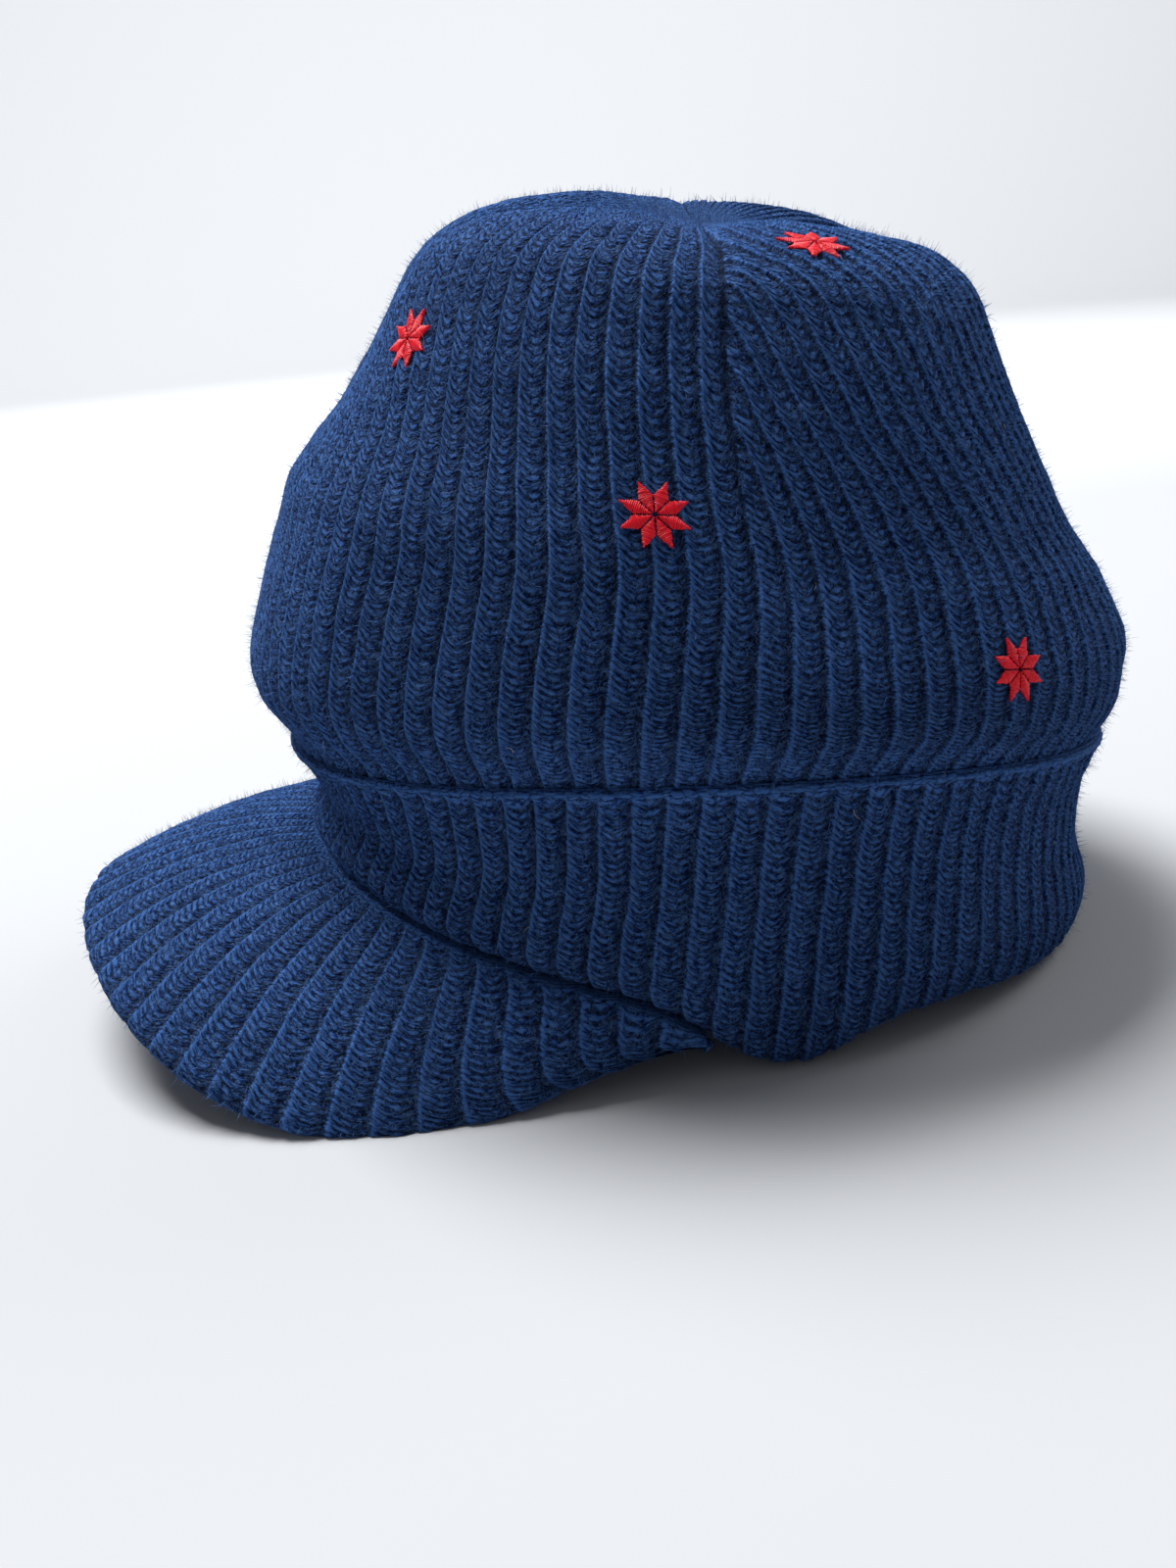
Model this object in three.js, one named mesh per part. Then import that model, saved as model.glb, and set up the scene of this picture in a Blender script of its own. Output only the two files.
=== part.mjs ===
// Ribbed knit visor beanie: a darted crown, a turned-up cuff and an arched peak.
// Millimetres, +Z up. The peak points to -Y, the wearer's left is +X, and the hat rests on Z = 0.
import * as THREE from "three";
import { mergeVertices } from "three/addons/utils/BufferGeometryUtils.js";

// ---------------------------------------------------------------- driving dimensions
const WALL = 3; // thickness of one layer of the ribbed knit
const GAP = 0.3; // clearance between neighbouring pieces
const PEAK_THICKNESS = 5; // two layers of knit over a thin board

const SEGMENTS_ROUND = 60; // facets round the head
const CROWN_STEPS = 18; // facets up the crown, above the cuff's top edge
const CUFF_STEPS = 3; // facets up the cuff
const FOLD_STEPS = 5; // facets round the cuff's fold
const PEAK_SEGMENTS = 27; // facets along the peak's root
const PEAK_STEPS = 5; // facets from the peak's root to its edge

const REST_TILT = 8.6; // degrees the hat leans back when it rests on its peak and its nape
const REST_SINK = 1.6; // how far the knit is pressed flat where it rests

// The fold wraps the crown's edge: cuff, crown and the fold's inner return lie side by side.
const FOLD_RADIUS = (3 * WALL + 3 * GAP) / 2;
const RETURN_HEIGHT = 2.5; // how far the fold's inner side runs up inside the crown
const SLOT_DEPTH = FOLD_RADIUS - WALL - GAP; // how far the crown's edge reaches down into the fold

// Height of the cuff's top edge and of its folded rim at an angle from the front.
const CUFF_TOP = { mean: 49.4, once: -6.2, twice: -5.6 };
const CUFF_RIM = { mean: 6.3, once: 5.4, twice: 2.3 };
// The rim hangs lower just behind each end of the peak.
const RIM_DIP = { angle: 91, reach: 12, depth: 12 };

// Sections of the cuff's outer face, from the fold (level 0) to the top edge (level 1):
// centre is the section's middle along Y, depth and side its half-widths along Y and X.
const CUFF_SECTIONS = [
  { level: 0.0, centre: 3.2, depth: 99.0, side: 88.1 },
  { level: 0.2, centre: 4.2, depth: 98.0, side: 89.4 },
  { level: 0.45, centre: 3.6, depth: 94.4, side: 87.8 },
  { level: 0.75, centre: 1.0, depth: 95.8, side: 87.5 },
  { level: 1.0, centre: 0.6, depth: 99.8, side: 89.4 },
];

// Sections of the crown's outer face above the cuff, from its nip inside the cuff to the apex.
const CROWN_SECTIONS = [
  { height: 49.4, centre: 0.6, depth: 96.4, side: 86.0 },
  { height: 53, centre: 0.1, depth: 99.6, side: 90.2 },
  { height: 62, centre: -3.2, depth: 104.5, side: 95.4 },
  { height: 75, centre: -2.4, depth: 102.7, side: 95.0 },
  { height: 88, centre: -4.5, depth: 96.8, side: 91.3 },
  { height: 100, centre: -8.0, depth: 90.4, side: 86.9 },
  { height: 114, centre: -8.3, depth: 82.1, side: 80.6 },
  { height: 128, centre: -9.2, depth: 74.9, side: 74.6 },
  { height: 140, centre: -9.6, depth: 69.3, side: 68.2 },
  { height: 150, centre: -9.5, depth: 63.4, side: 61.1 },
  { height: 156.4, centre: -8.7, depth: 55.1, side: 52.3 },
  { height: 159.4, centre: -9.2, depth: 43.9, side: 42.1 },
  { height: 161, centre: -10.8, depth: 30.5, side: 29.7 },
  { height: 162.6, centre: -11.2, depth: 14.6, side: 14.2 },
  { height: 161, centre: -9.6, depth: 0.0, side: 0.0 },
];
const NIP_FADE = 30; // height over which the wave of the cuff's top edge fades out of the crown

// Four darts gather the crown: a valley runs down each from the apex.
const DARTS = { count: 4, depth: 5.5, reach: 15, start: 96, full: 140, apexFade: 40 };

// Soft dents of the crown: angle from the front, height, and half-widths of each.
const DENTS = [
  { angle: 97, height: 98, reach: 16, rise: 26, depth: 5.0 },
  { angle: 30, height: 84, reach: 14, rise: 20, depth: -2.0 },
  { angle: 200, height: 112, reach: 22, rise: 24, depth: 4.0 },
  { angle: 262, height: 92, reach: 18, rise: 24, depth: 3.5 },
  { angle: 318, height: 104, reach: 16, rise: 22, depth: 2.5 },
];

// The peak: half-angle of its root, half-width, reach beyond the cuff, and heights of its edge.
const PEAK = {
  halfAngle: 81,
  halfWidth: 93.2,
  reach: 53.5,
  frontHeight: -3.4,
  sideHeight: -25.6,
  tuck: 6, // how far the root runs in under the fold
  swell: 4.6, // how far its upper face bows up between root and edge
  roundness: 0.71, // below 1 the outline is squarer than an ellipse
  endTaper: 2.7, // powers with which the edge runs in to the root's ends, in plan and in height
  endRise: 9,
};

const NAVY = 0x1c3763;

// ---------------------------------------------------------------- helpers
const radians = (degrees) => (degrees * Math.PI) / 180;
const lerp = (a, b, t) => a + (b - a) * t;
const clamp01 = (t) => Math.min(1, Math.max(0, t));
const smooth = (t) => clamp01(t) ** 2 * (3 - 2 * clamp01(t));
const bell = (distance, reach) => Math.exp(-((distance / reach) ** 2));

// Shortest distance in degrees between two directions round the head.
function turnBetween(a, b) {
  const turn = Math.abs(a - b) % 360;
  return Math.min(turn, 360 - turn);
}

// Catmull-Rom value of one column of a table of sections, at a row position from 0 to its last row.
function column(sections, name, position) {
  const last = sections.length - 1;
  const row = Math.min(Math.floor(position), last - 1);
  const t = position - row;
  const at = (i) => sections[Math.min(Math.max(i, 0), last)][name];
  const [a, b, c, d] = [at(row - 1), at(row), at(row + 1), at(row + 2)];
  const slopeIn = (c - a) / 2;
  const slopeOut = (d - b) / 2;
  const t2 = t * t;
  const t3 = t2 * t;
  return (
    b * (2 * t3 - 3 * t2 + 1) + slopeIn * (t3 - 2 * t2 + t) + c * (3 * t2 - 2 * t3) + slopeOut * (t3 - t2)
  );
}

// Row position at which a rising column of a table reaches a value.
function positionOf(sections, name, value) {
  const last = sections.length - 1;
  let row = 0;
  while (row < last - 1 && sections[row + 1][name] < value) row += 1;
  const low = sections[row][name];
  return row + clamp01((value - low) / (sections[row + 1][name] - low));
}

// Height that waves once and twice round the head, such as a rim's.
function wave(shape, degrees) {
  const angle = radians(degrees);
  return shape.mean + shape.once * Math.cos(angle) + shape.twice * Math.cos(2 * angle);
}

const cuffTop = (degrees) => wave(CUFF_TOP, degrees);

function cuffRim(degrees) {
  const dip = Math.max(
    bell(turnBetween(degrees, RIM_DIP.angle), RIM_DIP.reach),
    bell(turnBetween(degrees, -RIM_DIP.angle), RIM_DIP.reach),
  );
  return wave(CUFF_RIM, degrees) - RIM_DIP.depth * dip;
}

// Point of an oval section at an angle from the front, drawn in by an inset.
function ovalPoint(section, degrees, inset, height) {
  const angle = radians(degrees);
  return new THREE.Vector3(
    (section.side - inset) * Math.sin(angle),
    section.centre - (section.depth - inset) * Math.cos(angle),
    height,
  );
}

// Point of the cuff's outer face, drawn in by an inset.
function cuffPoint(degrees, level, inset) {
  const position = positionOf(CUFF_SECTIONS, "level", level);
  const section = {
    centre: column(CUFF_SECTIONS, "centre", position),
    depth: column(CUFF_SECTIONS, "depth", position),
    side: column(CUFF_SECTIONS, "side", position),
  };
  return ovalPoint(section, degrees, inset, lerp(cuffRim(degrees), cuffTop(degrees), level));
}

// How far the crown's face is drawn in at an angle and height, by its darts and dents.
function crownHollow(degrees, height, depth) {
  const spacing = 360 / DARTS.count;
  const offDart = Math.abs(degrees - spacing * Math.round(degrees / spacing));
  const dartDepth =
    DARTS.depth * smooth((height - DARTS.start) / (DARTS.full - DARTS.start)) * smooth(depth / DARTS.apexFade);
  let hollow = dartDepth * bell(offDart, DARTS.reach);
  for (const dent of DENTS) {
    const across = bell(turnBetween(degrees, dent.angle), dent.reach);
    hollow += dent.depth * across * bell(height - dent.height, dent.rise);
  }
  return hollow;
}

// Point of the crown's outer face above the cuff, at a row position of its table.
function crownPoint(degrees, position) {
  const section = {
    centre: column(CROWN_SECTIONS, "centre", position),
    depth: column(CROWN_SECTIONS, "depth", position),
    side: column(CROWN_SECTIONS, "side", position),
  };
  const height = column(CROWN_SECTIONS, "height", position);
  const rise = cuffTop(degrees) - CUFF_TOP.mean;
  const fade = 1 - smooth((height - CUFF_TOP.mean) / NIP_FADE);
  const room = smooth(section.depth / DARTS.apexFade);
  const hollow = crownHollow(degrees, height, section.depth) * room;
  return ovalPoint(section, degrees, hollow, height + rise * fade);
}

// Closed solid from rings of points, each ring the same length, with the last ring joined to the first
// where the rings go round, or capped at both ends where they don't.
function solidOfRings(rings, goesRound) {
  const size = rings[0].length;
  const vertices = rings.flat();
  const faces = [];
  const spans = goesRound ? rings.length : rings.length - 1;
  for (let i = 0; i < spans; i += 1) {
    const next = (i + 1) % rings.length;
    for (let j = 0; j < size; j += 1) {
      const k = (j + 1) % size;
      const [a, b, c, d] = [i * size + j, i * size + k, next * size + k, next * size + j];
      faces.push([a, b, c], [a, c, d]);
    }
  }
  if (!goesRound) {
    for (let j = 1; j < size - 1; j += 1) {
      faces.push([0, j + 1, j]);
      const base = (rings.length - 1) * size;
      faces.push([base, base + j, base + j + 1]);
    }
  }
  return meshData(vertices, faces);
}

// Geometry from vertices and faces, with the coincident vertices merged and empty faces left out.
function meshData(vertices, faces) {
  const geometry = new THREE.BufferGeometry();
  const positions = new Float32Array(vertices.flatMap((v) => [v.x, v.y, v.z]));
  geometry.setAttribute("position", new THREE.BufferAttribute(positions, 3));
  geometry.setIndex(faces.flat());
  const merged = mergeVertices(geometry, 1e-4);
  const kept = [];
  for (let i = 0; i < merged.index.count; i += 3) {
    const [a, b, c] = [0, 1, 2].map((n) => merged.index.getX(i + n));
    if (a !== b && b !== c && c !== a) kept.push(a, b, c);
  }
  merged.setIndex(kept);
  return merged;
}

// ---------------------------------------------------------------- pieces
const aroundHead = Array.from({ length: SEGMENTS_ROUND }, (_, i) => (i * 360) / SEGMENTS_ROUND);
const steps = (count) => Array.from({ length: count + 1 }, (_, i) => i / count);

// Levels of the cuff's straight stretch: the top of its fold, the top of the fold's return, and on up
// to the start of its rounded edge.
function cuffLevels(degrees) {
  const height = cuffTop(degrees) - cuffRim(degrees);
  const levelAt = (rise) => rise / height;
  const returnTop = FOLD_RADIUS + RETURN_HEIGHT;
  const upper = steps(CUFF_STEPS).map((t) => levelAt(lerp(returnTop, height - WALL / 2, t)));
  return [levelAt(FOLD_RADIUS), ...upper];
}

// The turned-up cuff: its outer face, a rounded top edge, and a fold that wraps the crown's lower edge.
function cuffRing(degrees) {
  const levels = cuffLevels(degrees);
  const foldPoint = (inset, below) => cuffPoint(degrees, levels[0], inset).add(new THREE.Vector3(0, 0, -below));
  const points = [];
  for (const level of levels.toReversed()) points.push(cuffPoint(degrees, level, 0));
  for (const t of steps(FOLD_STEPS).slice(1)) {
    const turn = Math.PI * t;
    points.push(foldPoint(FOLD_RADIUS * (1 - Math.cos(turn)), FOLD_RADIUS * Math.sin(turn)));
  }
  points.push(cuffPoint(degrees, levels[1], 2 * FOLD_RADIUS));
  points.push(cuffPoint(degrees, levels[1], 2 * FOLD_RADIUS - WALL));
  points.push(foldPoint(2 * FOLD_RADIUS - WALL, 0));
  points.push(foldPoint(2 * FOLD_RADIUS - WALL, SLOT_DEPTH), foldPoint(WALL, SLOT_DEPTH));
  for (const level of levels) points.push(cuffPoint(degrees, level, WALL));
  points.push(cuffPoint(degrees, 1, WALL / 2));
  return points;
}

// The crown's face inside the cuff, from its foot in the fold up to the cuff's top edge.
function crownFootFace(degrees, inset) {
  const levels = cuffLevels(degrees);
  const foot = cuffPoint(degrees, levels[0], inset).add(new THREE.Vector3(0, 0, GAP - SLOT_DEPTH));
  return [foot, ...levels.map((level) => cuffPoint(degrees, level, inset))];
}

// The crown's face above the cuff, from its nip to the apex.
function crownHeadFace(degrees) {
  const last = CROWN_SECTIONS.length - 1;
  return steps(CROWN_STEPS).map((t) => crownPoint(degrees, last * t));
}

// A grid of points moved inwards by the wall; its columns go round the head and each ends in the apex.
function wallInside(columns) {
  return columns.map((column, i) => {
    const before = columns[(i + columns.length - 1) % columns.length];
    const after = columns[(i + 1) % columns.length];
    return column.map((point, j) => {
      if (j === column.length - 1) return point.clone().add(new THREE.Vector3(0, 0, -WALL));
      const along = new THREE.Vector3().subVectors(after[j], before[j]);
      const up = new THREE.Vector3().subVectors(column[j + 1], column[Math.max(j - 1, 0)]);
      if (j === 0) up.set(0, 0, 1);
      return point.clone().addScaledVector(along.cross(up).normalize(), -WALL);
    });
  });
}

// The crown: a hollow shell whose lower edge sits in the cuff's fold.
function crownGeometry() {
  const outside = aroundHead.map(crownHeadFace);
  const inside = wallInside(outside);
  const rings = aroundHead.map((degrees, i) => [
    ...outside[i].toReversed(),
    ...crownFootFace(degrees, WALL + GAP).toReversed(),
    ...crownFootFace(degrees, 2 * WALL + GAP),
    ...inside[i],
  ]);
  return solidOfRings(rings, true);
}

const cuffGeometry = () => solidOfRings(aroundHead.map(cuffRing), true);

// Point just under the cuff's fold, drawn in by an inset from the cuff's outer face.
function underFold(degrees, inset) {
  const point = cuffPoint(degrees, cuffLevels(degrees)[0], inset);
  return point.setZ(cuffRim(degrees) - 2 * GAP);
}

// Point of the peak's upper face: along runs from -1 to 1 round its root, out from 0 to 1 to its edge.
function peakPoint(along, out) {
  const degrees = along * PEAK.halfAngle;
  const root = underFold(degrees, 0);
  const rootEnd = underFold(PEAK.halfAngle, 0);
  const turn = (along * Math.PI) / 2;
  const endBlend = Math.abs(along) ** PEAK.endTaper;
  const edgeX = lerp(PEAK.halfWidth * Math.sin(turn), Math.sign(along) * rootEnd.x, endBlend);
  const front = underFold(0, 0).y - PEAK.reach;
  const edgeY = lerp(rootEnd.y, front, Math.cos(turn) ** PEAK.roundness);
  const droop = (Math.min(Math.abs(edgeX), PEAK.halfWidth) / PEAK.halfWidth) ** 2;
  const archHeight = lerp(PEAK.frontHeight, PEAK.sideHeight, droop);
  const edge = new THREE.Vector3(edgeX, edgeY, lerp(archHeight, root.z - 1, Math.abs(along) ** PEAK.endRise));
  const point = root.clone().lerp(edge, out);
  point.z += PEAK.swell * 4 * out * (1 - out) * (1 - endBlend);
  return point;
}

function peakGeometry() {
  const half = PEAK_THICKNESS / 2;
  const rings = steps(PEAK_SEGMENTS).map((s) => {
    const along = lerp(-1, 1, s);
    const down = (out) => {
      const step = 0.01;
      const a = Math.min(along + step, 1);
      const b = Math.max(along - step, -1);
      const across = new THREE.Vector3().subVectors(peakPoint(a, out), peakPoint(b, out));
      const outward = new THREE.Vector3().subVectors(peakPoint(along, out + step), peakPoint(along, out - step));
      return across.cross(outward).normalize();
    };
    const top = steps(PEAK_STEPS).map((t) => peakPoint(along, t));
    const under = steps(PEAK_STEPS).map((t) => peakPoint(along, t).addScaledVector(down(t), PEAK_THICKNESS));
    const outward = new THREE.Vector3().subVectors(peakPoint(along, 1), peakPoint(along, 0.9)).normalize();
    const tip = [60, 90, 120].map((a) => {
      const middle = peakPoint(along, 1).addScaledVector(down(1), half);
      return middle
        .addScaledVector(down(1), -half * Math.cos(radians(a)))
        .addScaledVector(outward, half * Math.sin(radians(a)));
    });
    const tuckTop = underFold(along * PEAK.halfAngle, PEAK.tuck);
    const tuckUnder = tuckTop.clone().add(new THREE.Vector3(0, 0, -PEAK_THICKNESS));
    return [tuckTop, ...top, ...tip, ...under.reverse(), tuckUnder];
  });
  return solidOfRings(rings, false);
}

// ---------------------------------------------------------------- the hat
// Leans the pieces back to their rest over the middle of their box, and presses flat what then lies
// under the surface they stand on.
function settle(geometries) {
  const box = new THREE.Box3();
  for (const geometry of geometries) {
    geometry.rotateX(-radians(REST_TILT));
    geometry.computeBoundingBox();
    box.union(geometry.boundingBox);
  }
  const middle = (box.min.y + box.max.y) / 2;
  for (const geometry of geometries) {
    geometry.translate(0, -middle, -box.min.z - REST_SINK);
    const position = geometry.getAttribute("position");
    for (let i = 0; i < position.count; i += 1) position.setZ(i, Math.max(0, position.getZ(i)));
    geometry.computeVertexNormals();
  }
}

const pieces = { crown: crownGeometry(), cuff: cuffGeometry(), peak: peakGeometry() };
settle(Object.values(pieces));

const beanie = new THREE.Group();
for (const [name, geometry] of Object.entries(pieces)) {
  const knit = { name: `${name}_knit`, color: NAVY, roughness: 0.95, metalness: 0 };
  const mesh = new THREE.Mesh(geometry, new THREE.MeshStandardMaterial(knit));
  mesh.name = name;
  beanie.add(mesh);
}

export default beanie;
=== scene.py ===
"""Ribbed knit visor beanie in navy lambswool: crown, turned-up cuff, peak and small stitched motifs."""

import logging  # noqa: E402
import math  # noqa: E402
from dataclasses import dataclass, field  # noqa: E402
from enum import Enum  # noqa: E402
from functools import partial  # noqa: E402
from typing import Callable, NamedTuple, Sequence  # noqa: E402

import bmesh  # noqa: E402
import bpy  # noqa: E402
import numpy as np  # noqa: E402
from mathutils import Matrix, Vector  # noqa: E402


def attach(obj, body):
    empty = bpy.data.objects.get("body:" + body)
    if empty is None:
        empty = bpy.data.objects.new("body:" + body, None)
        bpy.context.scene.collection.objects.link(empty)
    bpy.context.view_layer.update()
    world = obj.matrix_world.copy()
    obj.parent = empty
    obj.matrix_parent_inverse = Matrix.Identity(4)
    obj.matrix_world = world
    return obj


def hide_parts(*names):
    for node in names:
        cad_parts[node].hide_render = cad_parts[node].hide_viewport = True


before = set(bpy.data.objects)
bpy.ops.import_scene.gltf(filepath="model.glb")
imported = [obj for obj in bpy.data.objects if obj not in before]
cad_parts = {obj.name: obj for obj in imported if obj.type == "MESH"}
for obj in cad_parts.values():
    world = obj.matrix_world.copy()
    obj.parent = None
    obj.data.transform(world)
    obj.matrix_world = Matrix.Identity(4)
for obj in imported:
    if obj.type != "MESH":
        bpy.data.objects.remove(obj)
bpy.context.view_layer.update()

LOG = logging.getLogger("beanie")
MM = 0.001
MATH = "ShaderNodeMath"
VECTOR_MATH = "ShaderNodeVectorMath"
# The crown's gores, and the turn that each takes up.
GORES = 4
GORE_TURN = 360 / GORES
UP = np.array([0.0, 0, 1])
# Middle value of a noise's colour.
MIDDLE = (0.5, 0.5, 0.5)
Array = np.ndarray
Pair = tuple[float, float]
Triple = tuple[float, float, float]
Surface = Callable[[Array, Array], Array]
Curve = tuple[Pair, ...]


# ---- small helpers
def srgb(code: str, alpha: float = 1.0) -> tuple[float, float, float, float]:
    """Turn an sRGB hex colour into the linear colour that a node takes.

    Args:
        code: Colour as #rrggbb.
        alpha: Opacity of the colour.

    Returns:
        Linear red, green and blue, and the opacity.
    """
    values = [int(code[i : i + 2], 16) / 255 for i in (1, 3, 5)]
    linear = [v / 12.92 if v <= 0.04045 else ((v + 0.055) / 1.055) ** 2.4 for v in values]
    return (linear[0], linear[1], linear[2], alpha)


def per(size: float) -> float:
    """Scale of a pattern whose cells are this many millimetres across."""
    return 1 / (size * MM)


def connect(node: bpy.types.Node, *values: object, **links: object) -> bpy.types.Node:
    """Fill the inputs of a node.

    Args:
        node: The node.
        values: Inputs in their order. Each is a socket to link, a node whose first output is linked, or a
            plain value.
        links: Inputs by name, with _ for a space, or by number as in0, in1 and so on.

    Returns:
        The same node.
    """
    for name, value in [(f"in{i}", value) for i, value in enumerate(values)] + list(links.items()):
        key = int(name[2:]) if name[:2] == "in" and name[2:].isdigit() else name.replace("_", " ")
        if isinstance(value, bpy.types.Node):
            value = value.outputs[0]
        if isinstance(value, bpy.types.NodeSocket):
            node.id_data.links.new(value, node.inputs[key])
        else:
            node.inputs[key].default_value = value
    return node


def add_node(
    tree: bpy.types.NodeTree, kind: str, settings: dict | str | None = None, *values: object, **links: object
) -> bpy.types.Node:
    """Add a node, set its properties and fill its inputs.

    Args:
        tree: Node tree that takes the node.
        kind: Blender's name for the kind of node.
        settings: Property values by property name, or only the node's operation.
        values: Inputs in their order, as connect takes them.
        links: Inputs by name or number, as connect takes them.

    Returns:
        The new node.
    """
    node = tree.nodes.new(kind)
    for name, value in ({"operation": settings} if isinstance(settings, str) else settings or {}).items():
        setattr(node, name, value)
    return connect(node, *values, **links)


def clamped(operation: str) -> dict:
    """Settings of a maths node that keeps its result between 0 and 1."""
    return {"operation": operation, "use_clamp": True}


def new_finish(name: str) -> tuple[bpy.types.Material, Callable[..., bpy.types.Node], bpy.types.Node]:
    """Start a material.

    Args:
        name: The material's name.

    Returns:
        The material, add_node for its tree, and its shader.
    """
    made = bpy.data.materials.new(name)
    made.use_nodes = True
    return made, partial(add_node, made.node_tree), made.node_tree.nodes["Principled BSDF"]


def set_curve(node: bpy.types.Node, points: Sequence[tuple[float, float]]) -> None:
    """Shape a float curve node through points.

    Args:
        node: The float curve node.
        points: Pairs of position and value, with positions rising from 0 to 1.
    """
    curve = node.mapping.curves[0]
    curve.points[0].location = points[0]
    curve.points[-1].location = points[-1]
    for point in points[1:-1]:
        curve.points.new(*point)
    node.mapping.update()


def smooth(t: Array) -> Array:
    """Ease from 0 to 1 as t goes from 0 to 1."""
    t = np.clip(t, 0, 1)
    return t * t * (3 - 2 * t)


def bell(distance: Array, reach: float) -> Array:
    """Bell-shaped fade of a distance, 1 at 0."""
    return np.exp(-((distance / reach) ** 2))


def ramp(value: Array, start: float, over: float) -> Array:
    """Ease from 0 to 1 as a value goes on from a start over a stretch."""
    return smooth((value - start) / over)


def turn_between(a: Array, b: float) -> Array:
    """Shortest distance in degrees between two directions round the head."""
    turn = np.abs(a - b) % 360
    return np.minimum(turn, 360 - turn)


def values_of(
    items: bpy.types.bpy_prop_collection, key: str, width: int = 1, kind: type = np.float32
) -> Array:
    """Read one property of many items at once.

    Args:
        items: The collection of items.
        key: Name of the property.
        width: Numbers to an item.
        kind: Type of the numbers.

    Returns:
        One row an item, or one number an item when the width is 1.
    """
    found = np.empty(len(items) * width, kind)
    items.foreach_get(key, found)
    return found.reshape(-1, width) if width > 1 else found


def add_attribute(
    mesh: bpy.types.Mesh, key: str, values: Array, kind: str = "FLOAT", domain: str = "POINT"
) -> None:
    """Store values on a mesh.

    Args:
        mesh: The mesh.
        key: The attribute's name.
        values: One value or three to an element.
        kind: Blender's name for the kind of value.
        domain: What the values belong to.
    """
    values = values.astype(np.float32) if kind.startswith("FLOAT") else values
    slot = "vector" if kind == "FLOAT_VECTOR" else "value"
    mesh.attributes.new(key, kind, domain).data.foreach_set(slot, values.ravel())


def place_in_scene(name: str, data: bpy.types.ID) -> bpy.types.Object:
    """Make an object of some data and link it to the scene.

    Args:
        name: The object's name.
        data: Its mesh, light or camera.

    Returns:
        The linked object.
    """
    made = bpy.data.objects.new(name, data)
    bpy.context.scene.collection.objects.link(made)
    return made


# ---- the hat's form
class Section(NamedTuple):
    """Oval section of an outer face: where it is, its middle along Y, and its half-widths along Y and X."""

    at: float
    centre: float
    depth: float
    side: float


class Dent(NamedTuple):
    """Soft dent of the crown: where it is, its half-widths and its depth."""

    angle: float
    height: float
    reach: float
    rise: float
    depth: float


class Wave(NamedTuple):
    """Height that waves once and twice round the head."""

    mean: float
    once: float
    twice: float


# The cuff, at levels from its fold, 0, to its top edge, 1.
CUFF_SECTIONS = (
    Section(0.0, 3.2, 99.0, 88.1),
    Section(0.2, 4.2, 98.0, 89.4),
    Section(0.45, 3.6, 94.4, 87.8),
    Section(0.75, 1.0, 95.8, 87.5),
    Section(1.0, 0.6, 99.8, 89.4),
)

# The crown, at heights.
CROWN_SECTIONS = (
    Section(49.4, 0.6, 96.4, 86.0),
    Section(53, 0.1, 99.6, 90.2),
    Section(62, -3.2, 104.5, 95.4),
    Section(75, -2.4, 102.7, 95.0),
    Section(88, -4.5, 96.8, 91.3),
    Section(100, -8.0, 90.4, 86.9),
    Section(114, -8.3, 82.1, 80.6),
    Section(128, -9.2, 74.9, 74.6),
    Section(140, -9.6, 69.3, 68.2),
    Section(150, -9.5, 63.4, 61.1),
    Section(156.2, -8.7, 54.6, 51.8),
    Section(158.8, -9.2, 43.6, 41.6),
    Section(160, -9.2, 30.5, 29.7),
    Section(160.8, -8.2, 14.6, 14.2),
    Section(161.2, -6.8, 0.0, 0.0),
)

DENTS = (
    Dent(97, 98, 16, 26, 5.0),
    Dent(30, 84, 14, 20, -2.0),
    Dent(200, 112, 22, 24, 4.0),
    Dent(262, 92, 18, 24, 3.5),
    Dent(318, 104, 16, 22, 2.5),
)


def column_at(sections: Sequence[tuple], index: int, position: Array) -> Array:
    """Catmull-Rom value of one column of a table of sections.

    Args:
        sections: Rows of the table.
        index: Column of the table.
        position: Row positions, from 0 to the last row.

    Returns:
        The column's value at each position.
    """
    values = np.array([row[index] for row in sections], float)
    last = len(values) - 1
    row = np.clip(np.floor(position).astype(int), 0, last - 1)
    t = position - row
    a, b, c, d = (values[np.clip(row + k, 0, last)] for k in (-1, 0, 1, 2))
    t2, t3 = t * t, t * t * t
    return (
        b * (2 * t3 - 3 * t2 + 1)
        + (c - a) / 2 * (t3 - 2 * t2 + t)
        + c * (3 * t2 - 2 * t3)
        + (d - b) / 2 * (t3 - t2)
    )


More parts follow.
